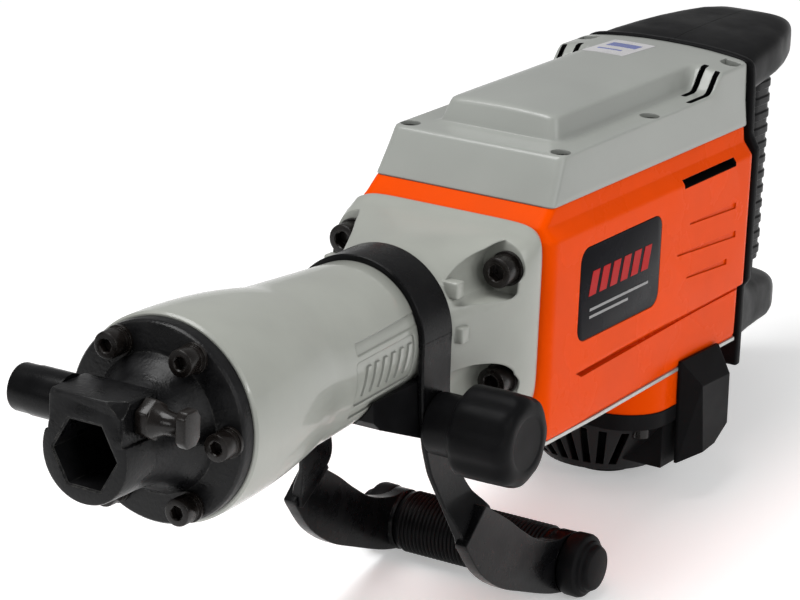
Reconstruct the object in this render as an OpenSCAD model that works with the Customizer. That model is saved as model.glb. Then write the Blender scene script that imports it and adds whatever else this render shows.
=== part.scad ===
// Electric demolition hammer with a 30 mm hexagonal tool socket.
// Origin: mouth of the tool socket, on the hammer axis.
// +Y runs from the nose to the rear handle, +Z is up, +X is the clamp knob's side.

/* [Nose] */
// Width across the flats of the hexagonal tool socket
socket_af = 30.4; // [29:0.1:30.8]
// Outer radius of the round nose
nose_r = 23.7; // [23:0.1:25]
// Radius of the front cover's plate
plate_r = 48.7; // [47:0.1:49]
// Radius of the circle that carries the six nose bolts
nose_bolt_circle_r = 41.2; // [40.5:0.1:41.5]
// Height of the stop lever's axis above the hammer axis
lever_z = 17.5; // [17:0.1:18]
// Radius of the stop lever's pin
lever_pin_r = 7.5; // [7:0.1:7.5]

/* [Barrel] */
// Radius of the barrel's front end
bell_r = 50.5; // [50:0.1:52]
// Radius at the crease between bell and neck
crease_r = 42.2; // [41.5:0.1:43]
// Distance from the nose to the crease
crease_y = 144.7; // [140:0.1:148]
// Radius of the neck under the clamp band
neck_r = 36.6; // [36.2:0.1:37]
// Bore of the cylinder liner, as a radius
cylinder_r = 28; // [28:0.1:28.4]

/* [Housing] */
// Front of the orange housing, from the nose
body_y0 = 309; // [308:0.5:310]
// Rear of the orange housing, from the nose
body_y1 = 541; // [541:0.5:543]
// Half the housing's width
body_half = 59.5; // [59.5:0.1:61]
// Half the width of the strip under the top cover
strip_half = 53.4; // [53:0.1:54]
// Underside of the housing
body_z0 = -71; // [-71:0.5:-70]
// Joint between housing and top cover
body_z1 = 51.2; // [51:0.1:52]
// Height of the top cover's rim at the front
rim_z0 = 75.4; // [75:0.1:77]
// Height of the top cover's rim at the rear
rim_z1 = 86.5; // [86:0.1:88]
// Height of the raised centre of the top cover
hump_z = 90.6; // [90:0.1:92]

/* [Gear train] */
// Distance from the nose to the crankshaft's axis
crank_y = 401; // [401:0.5:402]
// Throw of the crank pin
crank_throw = 12; // [11:0.5:12]
// Teeth of the armature's pinion
pinion_teeth = 12; // [12:1:12]
// Teeth of the large intermediate gear
inter_gear_teeth = 40; // [40:1:40]
// Teeth of the small intermediate gear
inter_pinion_teeth = 13; // [13:1:13]
// Teeth of the crankshaft's gear
final_teeth = 35; // [35:1:35]

/* [Motor] */
// Half the width of the motor skirt
motor_half = 56; // [55:0.5:56]
// Underside of the orange motor skirt
skirt_z = -92.5; // [-93:0.5:-92]
// Underside of the tail cover's cone
tail_z = -138; // [-138:0.5:-136]
// Underside of the tail cover's foot
foot_z = -146; // [-147:0.5:-145]

/* [Side handle] */
// Outer radius of the clamp band
band_r = 40.1; // [40:0.1:40.6]
// Width of the clamp band
band_w = 27; // [26:0.5:28]
// Distance from the nose to the side handle's bar
bar_y = 359; // [355:0.5:362]
// Height of the side handle's bar
bar_z = -151; // [-153:0.5:-149]
// Radius of the ribbed grip on the bar
bar_grip_r = 17; // [16:0.1:17]
// Radius of the clamp knob
knob_r = 24.3; // [23:0.1:25]

/* [Rear handle] */
// Distance from the nose to the centre of the rear grip
grip_y = 640; // [638:0.5:642]
// Half the width of the rear grip
grip_half = 15.5; // [15:0.1:16]

/* [Hidden] */
$fn = 64;

// Shared places, worked out from the driving dimensions
plate_back_y = 62.5;
boss_y = 54.2;
lever_y = 17;
band_y0 = 223.3;
band_y1 = band_y0 + band_w;
strap_t = 3.3;
flange_bolt_x = 45.7;
flange_bolt_z = [26.1, -32];
flange_seat_y = 293;
liner_r = 32.5;
kick_z0 = 36;
kick_z1 = 43;
strip_y0 = 321;
wall = 5.5;
inner_y0 = body_y0 + wall;
inner_y1 = body_y1 - wall;
inner_half = body_half - wall;

stage1_module = 1.5;
stage2_module = 2;
inter_y = crank_y + stage2_module * (final_teeth + inter_pinion_teeth) / 2;
motor_y = inter_y + stage1_module * (inter_gear_teeth + pinion_teeth) / 2;
final_z = [-33, -23];
stage1_z = [-43, -35.5];
cover_plate_z = [-52, -46];
rod_length = 86;
crank_pin_y = crank_y + crank_throw;
wrist_y = crank_pin_y - rod_length;
rod_half_t = 6;
run = 0.05;

knob_y = band_y0 + 15;
knob_z = -42;
arm_out = band_r;
arm_in = band_r - strap_t;
flange_y1 = body_y1 + 6;

// ---------- helpers ----------
module along_y(y0, y1, r) {
    translate([0, y0, 0]) rotate([-90, 0, 0]) cylinder(h = y1 - y0, r = r);
}
module along_x(x0, x1, y, z, r) {
    translate([x0, y, z]) rotate([0, 90, 0]) cylinder(h = x1 - x0, r = r);
}
module along_z(z0, z1, y, r) {
    translate([0, y, z0]) cylinder(h = z1 - z0, r = r);
}
// Solid of revolution about the hammer axis, from points [radius, y]
module turned(points) {
    rotate([-90, 0, 0]) rotate_extrude() polygon(points);
}
module hex_along_y(y0, y1, flats) {
    translate([0, y0, 0]) rotate([-90, 0, 0]) cylinder(h = y1 - y0, r = flats / 2 / cos(30), $fn = 6);
}
// Plan outline with round corners
module round_rect(half_w, y0, y1, r) {
    translate([-half_w + r, y0]) square([2 * (half_w - r), y1 - y0]);
    translate([-half_w, y0 + r]) square([2 * half_w, y1 - y0 - 2 * r]);
    for (x = [-half_w + r, half_w - r], y = [y0 + r, y1 - r]) translate([x, y]) circle(r);
}
module block(half_w, y0, y1, r, z0, z1) {
    translate([0, 0, z0]) linear_extrude(z1 - z0) round_rect(half_w, y0, y1, r);
}
// Slab with its outline in the YZ plane, from x0 to x1
module yz_slab(x0, x1, points) {
    translate([x0, 0, 0]) rotate([90, 0, 90]) linear_extrude(x1 - x0) polygon(points);
}
// Slab with its outline in the XZ plane, from y0 to y1
module xz_slab(y0, y1) {
    translate([0, y1, 0]) rotate([90, 0, 0]) linear_extrude(y1 - y0) children();
}
module both_sides() {
    children();
    mirror([1, 0, 0]) children();
}
// Socket-head screw along +Y, with its head's face at y = 0
module socket_screw(head_r, head_h, key, shank_r, length) {
    difference() {
        along_y(0, head_h, head_r);
        hex_along_y(-1, head_h * 0.55, key);
    }
    along_y(head_h - 0.1, head_h + length, shank_r);
}
module ring_along_y(y0, y1, r_in, r_out) {
    difference() {
        along_y(y0, y1, r_out);
        along_y(y0 - 1, y1 + 1, r_in);
    }
}
// Ball bearing about a vertical axis: two rings and a row of balls
module ball_bearing(y, z0, z1, r_in, r_out) {
    ring_w = (r_out - r_in) * 0.28;
    ball_r = (r_out - r_in) / 2 - ring_w + 0.35;
    mid_r = (r_in + r_out) / 2;
    mid_z = (z0 + z1) / 2;
    count = floor(360 / (2 * asin(ball_r * 1.15 / mid_r)));
    translate([0, y, 0]) {
        difference() {
            union() {
                difference() {
                    translate([0, 0, z0]) cylinder(h = z1 - z0, r = r_out);
                    translate([0, 0, z0 - 1]) cylinder(h = z1 - z0 + 2, r = r_out - ring_w);
                }
                difference() {
                    translate([0, 0, z0]) cylinder(h = z1 - z0, r = r_in + ring_w);
                    translate([0, 0, z0 - 1]) cylinder(h = z1 - z0 + 2, r = r_in);
                }
            }
            translate([0, 0, mid_z]) rotate_extrude() translate([mid_r, 0]) circle(ball_r + 0.05);
        }
        for (k = [0 : count - 1]) rotate(k * 360 / count) translate([mid_r, 0, mid_z]) sphere(ball_r);
    }
}
// Involute gear outline: module m, n teeth, addendum and dedendum in modules
pressure_angle = 20;
backlash = 0.14;
function involute(rb, t) = [rb * (cos(t) + t * PI / 180 * sin(t)), rb * (sin(t) - t * PI / 180 * cos(t))];
function turned_by(p, a) = [p[0] * cos(a) - p[1] * sin(a), p[0] * sin(a) + p[1] * cos(a)];
function involute_roll(rb, r) = sqrt(max(0, pow(r / rb, 2) - 1)) * 180 / PI;
module gear_outline(m, n, add, ded) {
    rp = m * n / 2;
    rb = rp * cos(pressure_angle);
    ra = rp + add * m;
    rr = rp - ded * m;
    half = 90 / n + (tan(pressure_angle) - pressure_angle * PI / 180) * 180 / PI - asin(backlash / rp);
    start = involute_roll(rb, max(rb, rr));
    end = involute_roll(rb, ra);
    steps = 4;
    flank = [for (k = [0 : steps]) involute(rb, start + (end - start) * k / steps)];
    right = [for (p = flank) turned_by(p, -half)];
    left = [for (k = [steps : -1 : 0]) [right[k][0], -right[k][1]]];
    tooth = concat([turned_by([rr, 0], -half)], right, left, [turned_by([rr, 0], half)]);
    polygon([for (i = [0 : n - 1]) each [for (p = tooth) turned_by(p, i * 360 / n)]]);
}
module spur_gear(y, z0, z1, m, n, add, ded, turn) {
    translate([0, y, z0]) rotate(turn) linear_extrude(z1 - z0) gear_outline(m, n, add, ded);
}

// ---------- nose ----------
module nose_bolt_places() {
    for (k = [0 : 5])
        rotate([0, k * 60, 0]) translate([nose_bolt_circle_r, 0, 0]) children();
}
module front_cover() {
    lever_hole_r = lever_pin_r + run;
    ledge_z = 8.5;
    block_half = 20.3;
    color("#26282a")
    difference() {
        union() {
            difference() {
                turned([[0, 0], [nose_r - 1.2, 0], [nose_r, 1.2], [nose_r, 25], [24.8, 33], [27.5, 42],
                        [31, 49], [33.1, 52.4], [33.1, boss_y], [plate_r - 2.2, boss_y],
                        [plate_r - 0.6, boss_y + 0.7], [plate_r, boss_y + 2.4],
                        [plate_r, plate_back_y], [0, plate_back_y]]);
                both_sides() translate([block_half, -1, ledge_z]) cube([10, 26, 20]);
            }
            translate([-block_half, 0, 0]) cube([2 * block_half, 27, 27.5]);
            translate([-block_half, 0, 15]) cube([2 * block_half, 44, 6]);
        }
        hex_along_y(-1, plate_back_y + 1, socket_af);
        along_x(-30, 30, lever_y, lever_z, lever_hole_r);
        along_x(-30, -block_half, lever_y, lever_z, 11.8);
        along_x(block_half, 30, lever_y, lever_z, 10.8);
        nose_bolt_places() along_y(boss_y - 14, plate_back_y + 1, 4.5);
        nose_bolt_places() along_y(30, boss_y, 8.2);
        // sloped face at the block's upper right
        translate([block_half - 5, -6, 27.5]) rotate([0, 0, 0]) rotate([32, 28, 0]) cube([20, 12, 8]);
    }
}
module nose_bolts() {
    color("#2b2420")
    nose_bolt_places() translate([0, boss_y - 11.5, 0]) socket_screw(6.65, 8, 6, 4, 28);
}
module washers() {
    color("#2e2a27") {
        nose_bolt_places() {
            ring_along_y(boss_y - 3.5, boss_y - 1.7, 4.2, 6.5);
            ring_along_y(boss_y - 1.6, boss_y, 4.3, 7.4);
        }
        for (x = [-1, 1], z = flange_bolt_z)
            translate([x * flange_bolt_x, 0, z]) ring_along_y(flange_seat_y - 2.3, flange_seat_y, 5.2, 9);
    }
}
module lever_cap() {
    color("#1d1e20")
    difference() {
        union() {
            along_x(-48.5, -20.3, lever_y, lever_z, 11.3);
            along_x(-44, -20.3, lever_y, lever_z, 11.7);
        }
        along_x(-46.5, -20, lever_y, lever_z, 9.2);
    }
}
module stop_lever() {
    color("#2c2622") {
        // pin with the half-moon flat that clears the socket
        difference() {
            along_x(-44.5, 27, lever_y, lever_z, lever_pin_r);
            translate([-26.6, lever_y - 10, lever_z - 12]) cube([44.9, 20, 12 - (lever_z - socket_af / 2) + 0.3]);
            along_x(-43.1, -41.5, lever_y, lever_z, lever_pin_r + 1);
        }
        along_x(-43.5, -41.4, lever_y, lever_z, 5.8);
        translate([20.6, lever_y, lever_z]) rotate([0, 90, 0]) cylinder(h = 6.5, r = 10, $fn = 6);
        along_x(27, 40, lever_y, lever_z, 5.6);
        translate([39.5, lever_y - 6.2, lever_z - 8.7]) cube([7, 12.4, 17.4]);
    }
}
module lever_clip() {
    color("#8a8c8e")
    difference() {
        along_x(-42.9, -41.7, lever_y, lever_z, 8.7);
        along_x(-46, -40, lever_y, lever_z, 5.9);
    }
}
module lever_spring() {
    turns = 7;
    pitch = 2.95;
    color("#9a9c9e")
    for (k = [0 : turns - 1])
        translate([-22 - k * pitch, lever_y, lever_z]) rotate([0, 90, 0])
            rotate_extrude() translate([8.3, 0]) circle(0.75);
}
module hex_bushing() {
    color("#6f7377")
    difference() {
        along_y(plate_back_y, 112, 28);
        hex_along_y(plate_back_y - 1, 113, socket_af);
    }
}

// ---------- barrel ----------
function neck_profile(y) = crease_r - (crease_r - neck_r - 0.7) * (y - crease_y) / (band_y0 - 1 - crease_y);
function bell_profile(y) = bell_r - (bell_r - crease_r) * pow((y - plate_back_y) / (crease_y - plate_back_y), 2.2);
module flange_outline() {
    half = 57.8;
    z0 = -54;
    z1 = 45.6;
    translate([-half + 12, z0]) square([2 * half - 24, z1 - z0]);
    translate([-half, z0 + 12]) square([2 * half, z1 - z0 - 24]);
    for (x = [-half + 12, half - 12], z = [z0 + 12, z1 - 12]) translate([x, z]) circle(12);
}
module barrel_case() {
    bell_steps = 10;
    bell = [for (k = [0 : bell_steps])
        let (y = plate_back_y + (crease_y - plate_back_y) * k / bell_steps) [bell_profile(y), y]];
    color("#a7aaa3")
    difference() {
        union() {
            turned(concat([[0, plate_back_y]], bell,
                          [[neck_r + 0.7, band_y0 - 1], [neck_r, band_y0], [neck_r, band_y1 + 1], [0, band_y1 + 1]]));
            // gear-case cone: from the round neck to the square flange
            hull() {
                along_y(band_y1 + 0.5, band_y1 + 2.5, 40);
                xz_slab(flange_seat_y - 2, flange_seat_y + 3) flange_outline();
            }
            xz_slab(flange_seat_y, body_y0) flange_outline();
        }
        along_y(plate_back_y - 1, 112, 28);
        along_y(111.9, body_y0 + 1, liner_r);
        nose_bolt_places() along_y(plate_back_y - 1, 84, 4);
        // pockets of the four flange bolts
        both_sides() {
            pocket(flange_bolt_z[0], 13, 48);
            pocket(flange_bolt_z[1], -49.5, -17.5);
            for (z = flange_bolt_z) translate([flange_bolt_x, 0, z]) along_y(flange_seat_y - 1, body_y0 + 1, 5);
        }
        // framed panel on both sides of the neck
        both_sides() {
            translate([neck_r - 1.2, 165, 14.6]) cube([10, 57, 3.4]);
            translate([neck_r - 1.2, 165, -20.5]) cube([10, 57, 3.4]);
            difference() {
                translate([neck_r - 1.6, 163, -14.5]) cube([10, 58, 24]);
                for (k = [0 : 5])
                    translate([neck_r - 2, 169 + k * 8, -9]) rotate([15, 0, 0]) cube([1.3, 3.4, 13]);
            }
        }
    }
}
module pocket(z, z_low, z_high) {
    r = 5;
    x0 = flange_bolt_x - 13;
    xz_slab(240, flange_seat_y) {
        translate([x0 + r, z_low]) square([22 - 2 * r, z_high - z_low]);
        translate([x0, z_low + r]) square([22, z_high - z_low - 2 * r]);
        for (x = [x0 + r, x0 + 22 - r], c = [z_low + r, z_high - r]) translate([x, c]) circle(r);
    }
}
module barrel_bolts() {
    color("#24211f")
    for (x = [-1, 1], z = flange_bolt_z)
        translate([x * flange_bolt_x, flange_seat_y - 12.3, z]) socket_screw(8, 10, 8, 4.9, 34);
}
module cylinder_liner() {
    color("#8e9296")
    difference() {
        along_y(151, 350, liner_r);
        along_y(150, 351, cylinder_r);
        // air ports that the piston uncovers
        for (a = [0 : 45 : 315]) rotate([0, a, 0]) translate([0, 262, 0]) cylinder(h = 40, r = 2.5);
    }
}
module anvil_guide() {
    color("#74787c")
    ring_along_y(112, 146, 16.05, liner_r);
}
module buffer_ring() {
    color("#1b1b1c")
    ring_along_y(146, 151, 23, liner_r);
}
module impact_bolt() {
    color("#62666a")
    turned([[0, 100], [12, 100], [13, 101], [13, 122], [16, 124.5], [16, 157], [22, 158], [22, 174],
            [20, 176], [0, 176]]);
}
module striker() {
    groove_y = 240;
    color("#7d8185")
    difference() {
        turned([[0, 200], [25, 200], [cylinder_r - 0.07, 203], [cylinder_r - 0.07, 250], [0, 250]]);
        ring_along_y(groove_y, groove_y + 3, 25.4, 30);
    }
}
module striker_o_ring() {
    color("#141414")
    rotate([-90, 0, 0]) rotate_extrude() translate([26.7, 241.5]) circle(1.2);
}
module piston() {
    crown_y = 279;
    cup_y = 291.5;
    skirt_y = 347;
    color("#888c90") {
        difference() {
            along_y(crown_y, skirt_y, cylinder_r - 0.07);
            along_y(cup_y, skirt_y + 1, 24);
            ring_along_y(crown_y + 4, crown_y + 7, 25.4, 30);
        }
        // bosses that guide the wrist pin's ends
        for (s = [-1, 1]) intersection() {
            along_y(cup_y, skirt_y, 25);
            translate([-7, wrist_y - 7, s > 0 ? 17 : -25]) cube([14, 14, 8]);
        }
    }
}
module piston_o_ring() {
    color("#141414")
    rotate([-90, 0, 0]) rotate_extrude() translate([26.7, 284.5]) circle(1.2);
}
module wrist_pin() {
    color("#a5a8ab")
    along_z(-15, 15, wrist_y, 4.5);
}
module connecting_rod() {
    color("#9da1a4")
    difference() {
        union() {
            along_z(-rod_half_t, rod_half_t, crank_pin_y, 15);
            along_z(-rod_half_t, rod_half_t, wrist_y, 10);
            translate([-7, wrist_y, -rod_half_t]) cube([14, rod_length, 2 * rod_half_t]);
        }
        along_z(-10, 10, crank_pin_y, 8 + run);
        along_z(-10, 10, wrist_y, 4.5);
        // lightening pockets on both faces
        for (s = [-1, 1])
            translate([-4, wrist_y + 16, s > 0 ? 3.5 : -10]) cube([8, 45, 6.5]);
    }
}

// ---------- gear case ----------
module crankshaft() {
    color("#8f9396") {
        along_z(-7, 7.5, crank_pin_y, 8);
        along_z(-12.5, -7, crank_y, 24);
        // counterweight opposite the crank pin
        translate([0, 0, -12.5]) linear_extrude(5.5) intersection() {
            translate([0, crank_y]) circle(34);
            translate([-24, crank_y - 34.5]) square([48, 30]);
        }
        along_z(-22, -12.5, crank_y, 12.5 - run);
        along_z(final_z[0], -22, crank_y, 11);
        along_z(-45.5, final_z[0], crank_y, 9);
        along_z(-52, -45.5, crank_y, 8 - run);
    }
}
module final_gear() {
    color("#7a7d80")
    difference() {
        spur_gear(crank_y, final_z[0], final_z[1], stage2_module, final_teeth, 0.9, 1.2, 90);
        along_z(final_z[0] - 1, final_z[1] + 1, crank_y, 11);
        for (a = [30 : 60 : 330]) translate([0, crank_y, 0]) rotate(a) translate([22, 0, -40])
            cylinder(h = 30, r = 5);
    }
}
module crank_bearings() {
    color("#b4b7ba") {
        ball_bearing(crank_y, -21, -13, 12.5, 24);
        ball_bearing(crank_y, cover_plate_z[0], cover_plate_z[1], 8, 15);
    }
}
module bearing_carrier() {
    color("#b0b3b1")
    difference() {
        block(inner_half - 0.2, 365, inter_y + 16, 4, -21, -13);
        along_z(-22, -12, crank_y, 24);
        along_z(-22, -12, inter_y, 6);
    }
}
module intermediate_gear() {
    color("#82858a")
    difference() {
        union() {
            spur_gear(inter_y, stage1_z[1] - 0.5, -22.5, stage2_module, inter_pinion_teeth, 0.9, 1.2,
                      -90 + 180 / inter_pinion_teeth);
            spur_gear(inter_y, stage1_z[0], stage1_z[1], stage1_module, inter_gear_teeth, 0.9, 1.2, 90);
        }
        along_z(-50, -20, inter_y, 6 + run);
    }
}
module intermediate_pin() {
    color("#a9acaf")
    along_z(cover_plate_z[0], -13, inter_y, 6);
}
// Part of the lower side that tapers in towards the rear
module side_taper_cut(z0, z1) {
    both_sides() translate([0, 0, z0]) linear_extrude(z1 - z0)
        polygon([[body_half + 0.05, 342], [motor_half, motor_y - 2], [motor_half, body_y1 + 1],
                 [body_half + 3, body_y1 + 1], [body_half + 3, 342]]);
}
module inner_cover() {
    color("#b9bcb6")
    difference() {
        union() {
            block(inner_half - 0.2, inner_y0 + 0.2, inner_y1 - 0.2, 5.8, body_z0, cover_plate_z[1]);
            block(body_half - 0.6, body_y0 + 1.5, body_y1 - 0.5, 9, body_z0 - 2, body_z0);
        }
        block(inner_half - 3.5, inner_y0 + 3.5, inner_y1 - 1.2, 4, body_z0 - 3, cover_plate_z[0]);
        along_z(cover_plate_z[0] - 1, cover_plate_z[1] + 1, crank_y, 15);
        along_z(cover_plate_z[0] - 1, cover_plate_z[1] + 1, inter_y, 6);
        along_z(cover_plate_z[0] - 4, cover_plate_z[1] + 1, motor_y, 16);
        side_taper_cut(body_z0 - 3, body_z0 + 0.01);
    }
}

// ---------- motor ----------
module armature_shaft() {
    color("#8d9194") {
        along_z(-131, -123, motor_y, 6 - run);
        along_z(-123, -54, motor_y, 7);
        along_z(-54.1, stage1_z[0] - 1, motor_y, 8 - run);
        spur_gear(motor_y, stage1_z[0] - 1, stage1_z[1] + 1, stage1_module, pinion_teeth, 0.9, 1.2,
                  -90 + 180 / pinion_teeth);
    }
}
module armature_core() {
    slots = 12;
    color("#7c5a32")
    difference() {
        union() {
            along_z(-99, -67, motor_y, 26);
            along_z(-103, -63.5, motor_y, 21);
        }
        along_z(-110, -60, motor_y, 7);
        for (k = [0 : slots - 1]) translate([0, motor_y, -100]) rotate(k * 360 / slots)
            translate([23, -1.2, 0]) cube([6, 2.4, 34]);
    }
}
module commutator() {
    segments = 24;
    color("#b5713a")
    difference() {
        along_z(-120, -103.5, motor_y, 15);
        along_z(-121, -103, motor_y, 7);
        for (k = [0 : segments - 1]) translate([0, motor_y, -121]) rotate(k * 360 / segments)
            translate([14, -0.25, 0]) cube([3, 0.5, 18]);
    }
}
module cooling_fan() {
    blades = 14;
    color("#2a2a2c")
    difference() {
        union() {
            along_z(-57, -55.5, motor_y, 40);
            along_z(-62, -55.5, motor_y, 12);
            for (k = [0 : blades - 1]) translate([0, motor_y, -62]) rotate(k * 360 / blades)
                translate([11, -0.8, 0]) cube([28, 1.6, 6]);
        }
        along_z(-63, -55, motor_y, 7);
    }
}
module motor_bearings() {
    color("#b4b7ba") {
        ball_bearing(motor_y, -54, -46, 8, 16);
        ball_bearing(motor_y, -131, -123, 6, 13);
    }
}
module stator() {
    color("#5d5f62")
    difference() {
        along_z(-100, -66, motor_y, 43.9);
        along_z(-101, -65, motor_y, 26.8);
        // winding windows on both sides of the two poles
        for (s = [-1, 1]) translate([0, motor_y, -101]) {
            translate([-8, s > 0 ? 27 : -38, 0]) cube([16, 11, 36]);
        }
    }
}
module brush_holders() {
    color("#b08a3c")
    both_sides() difference() {
        translate([17, motor_y - 6, -117]) cube([32, 12, 10]);
        translate([15, motor_y - 4.05, -115.55]) cube([32, 8.1, 7.1]);
    }
}
module carbon_brushes() {
    color("#3a3a3c")
    both_sides() translate([15.3, motor_y - 4, -115.5]) cube([20, 8, 7]);
}
module motor_housing() {
    color("#e8590c")
    difference() {
        union() {
            block(motor_half, motor_y - motor_half, body_y1 - 0.5, 27, skirt_z, body_z0 - 2);
            along_z(body_z0 - 2.1, -57, motor_y, 45.9);
        }
        along_z(skirt_z - 1, -56, motor_y, 44);
    }
}
module motor_ring() {
    color("#1c1d1f")
    difference() {
        block(motor_half + 0.5, motor_y - motor_half - 0.5, body_y1 - 0.5, 27.5, skirt_z - 9, skirt_z);
        along_z(skirt_z - 10, skirt_z + 1, motor_y, 44.3);
        tail_screw_places() translate([0, 0, skirt_z - 10]) cylinder(h = 9.4, r = 2.2);
    }
}
module tail_cone(inset, z_low, z_top) {
    hull() {
        block(motor_half - 3 - inset, motor_y - motor_half + 3 + inset, body_y1 - 2 - inset, 26,
              z_top - 0.1, z_top);
        along_z(z_low, z_low + 1, motor_y + 4, 33 - inset, $fn = 48);
    }
}
tail_screw = [46, 38];
module tail_screw_places() {
    for (x = [-1, 1], y = [-1, 1]) translate([x * tail_screw[0], motor_y + y * tail_screw[1], 0]) children();
}
module tail_cover() {
    ring_z = skirt_z - 9;
    color("#1a1b1d")
    difference() {
        union() {
            tail_cone(0, tail_z, ring_z);
            // side boxes over the brush gear
            both_sides() translate([30, motor_y - 27, -128]) cube([motor_half - 32.5, 54, 128 + ring_z]);
            along_z(foot_z, tail_z + 2, motor_y + 8, 17);
        }
        difference() {
            tail_cone(3, tail_z + 4, ring_z + 0.1);
            along_z(-140, -121, motor_y, 16);
        }
        along_z(-131, -120, motor_y, 13);
        tail_screw_places() {
            translate([0, 0, -140]) cylinder(h = 140 + skirt_z - 10.5, r = 4.7);
            translate([0, 0, -140]) cylinder(h = 60, r = 2.2);
        }
        both_sides() translate([14, motor_y - 8, -117]) cube([35, 16, 117 + ring_z + 1]);
        // air slots round the cone, front and rear
        for (s = [0, 180], a = [-42 : 12 : 42])
            translate([0, motor_y, -133]) rotate(s + a - 90) translate([24, -2.2, 0]) cube([40, 4.4, 27]);
    }
}
module brush_cover_shape() {
    inner = [[motor_y - 19, -67.5], [motor_y + 26, -68.3], [motor_y + 28, -112], [motor_y + 12, -127],
             [motor_y - 17, -127]];
    outer = [[motor_y - 14.5, -80.3], [motor_y + 18.5, -81.3], [motor_y + 19.5, -110.5],
             [motor_y + 5, -118.7], [motor_y - 9, -120.2]];
    hull() {
        yz_slab(motor_half + 0.6, motor_half + 2.2, inner);
        yz_slab(69, 70, outer);
    }
}
module brush_cover_right() {
    color("#1b1c1e") brush_cover_shape();
}
module brush_cover_left() {
    color("#1b1c1e") mirror([1, 0, 0]) brush_cover_shape();
}

// ---------- housing ----------
module cover_screw_places() {
    both_sides() for (y = screw_places) translate([46.2, y, 0]) children();
}
module body_housing() {
    color("#e8590c")
    difference() {
        union() {
            body_shell();
            cover_screw_places() translate([0, 0, 33]) cylinder(h = body_z1 - 33, r = 5.2);
        }
        cover_screw_places() translate([0, 0, 30]) cylinder(h = 30, r = 2.6);
    }
}
module body_shell() {
    difference() {
        union() {
            block(body_half, body_y0, body_y1, 9, body_z0, kick_z0);
            hull() {
                block(body_half, body_y0, body_y1, 9, kick_z0 - 0.1, kick_z0);
                block(strip_half + 0.3, strip_y0 - 1, body_y1, 8, kick_z1, kick_z1 + 0.1);
            }
            block(strip_half, strip_y0, body_y1, 8, kick_z1, body_z1);
        }
        block(inner_half, inner_y0, inner_y1, 6, body_z0 - 1, kick_z0 - 6);
        block(strip_half - 5, strip_y0 + 6, inner_y1, 5, kick_z0 - 6.1, body_z1 + 1);
        along_y(body_y0 - 1, 352, liner_r + 0.5);
        both_sides() {
            for (z = flange_bolt_z) translate([flange_bolt_x, 0, z]) along_y(body_y0 - 1, 327, 5);
            // vent, three short grooves and the recess of the badge
            translate([45, 457, kick_z0 - 0.8]) cube([20, 61, 4.2]);
            translate([body_half - 1, 469, 10]) cube([5, 51, 2.2]);
            translate([body_half - 1, 456, -5.6]) cube([5, 66, 2.2]);
            translate([body_half - 1, 469, -20]) cube([5, 45, 2.2]);
            translate([body_half - 0.6, 344, -25]) cube([5, 89, 51]);
        }
        side_taper_cut(body_z0 - 1, -40);
    }
}
module side_badges() {
    r = 6;
    color("#17181a")
    both_sides() translate([body_half - 0.6, 344.3, -24.7]) rotate([90, 0, 90]) linear_extrude(0.9) {
        translate([r, 0]) square([88.4 - 2 * r, 50.4]);
        translate([0, r]) square([88.4, 50.4 - 2 * r]);
        for (y = [r, 88.4 - r], z = [r, 50.4 - r]) translate([y, z]) circle(r);
    }
}
screw_places = [342, 438.5, 531];
// The rim is level, then climbs a short ramp to the raised rear end
ramp_y0 = 499;
ramp_y1 = 512;
function rim_height(y) = rim_z0 + (rim_z1 - rim_z0) * max(0, min(1, (y - ramp_y0) / (ramp_y1 - ramp_y0)));
module top_shell(inset) {
    hull() {
        block(strip_half - inset, strip_y0 + 1 + inset, body_y1 - inset, 8, body_z1, body_z1 + 0.4);
        block(51 - inset, 334 + inset, body_y1 - inset, 5, rim_z0 - inset - 0.1, rim_z0 - inset);
    }
    hull() {
        block(51 - inset, ramp_y0 + inset, body_y1 - inset, 5, rim_z0 - inset - 2, rim_z0 - inset - 0.2);
        block(50.3 - inset, ramp_y1 + inset, body_y1 - inset, 5, rim_z1 - inset - 0.1, rim_z1 - inset);
        block(30 - inset, ramp_y1 + 1 + inset, body_y1 - inset, 5, hump_z - 2 - inset, hump_z - 1 - inset);
    }
}
module hump_shell(inset) {
    hull() {
        block(36 - inset, 354 + inset, body_y1 - 6 - inset, 5, 70, rim_z0 + 0.5 - inset);
        block(32 - inset, 358 + inset, body_y1 - 8 - inset, 5, hump_z - 2 - inset, hump_z - 1.7 - inset);
        block(20 - inset, 360 + inset, body_y1 - 8 - inset, 5, hump_z - 0.5 - inset, hump_z - inset);
    }
}
module top_cover() {
    color("#a7aaa3")
    difference() {
        union() {
            top_shell(0);
            hump_shell(0);
        }
        top_shell(3.2);
        hump_shell(3.2);
        both_sides() {
            for (y = screw_places) translate([46.2, y, 60]) {
                cylinder(h = 40, r = 2.6);
                translate([0, 0, rim_height(y) - 60 - 5.5]) cylinder(h = 20, r = 5.4);
            }
            // air slots that climb the ramp beside the hump
            yz_slab(37.6, 40.8, [[490, 71], [490, 78], [502, 78], [511, 92], [515, 92], [515, 84], [505, 71]]);
            yz_slab(46.2, 49.2, [[478, 71], [478, 78], [500, 78], [507, 92], [511, 92], [511, 84], [504, 71]]);
        }
    }
    color("#a7aaa3") both_sides() for (y = screw_places) translate([46.2, y, body_z1]) difference() {
        cylinder(h = rim_height(y) - body_z1 - 6, r = 4.4);
        translate([0, 0, -1]) cylinder(h = 40, r = 2.6);
    }
}
module cover_screws() {
    color("#1f1f20") {
        both_sides() for (y = screw_places)
            translate([46.2, y, rim_height(y) - 1.6]) rotate([-90, 0, 0]) socket_screw(4.8, 3.8, 4, 2.5, 32);
        // four screws that hold the tail cover and ring
        for (x = [-1, 1], y = [-1, 1])
            translate([x * tail_screw[0], motor_y + y * tail_screw[1], skirt_z - 15.5]) rotate([90, 0, 0]) socket_screw(4.5, 5, 3.5, 2.2, 9);
    }
}

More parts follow.
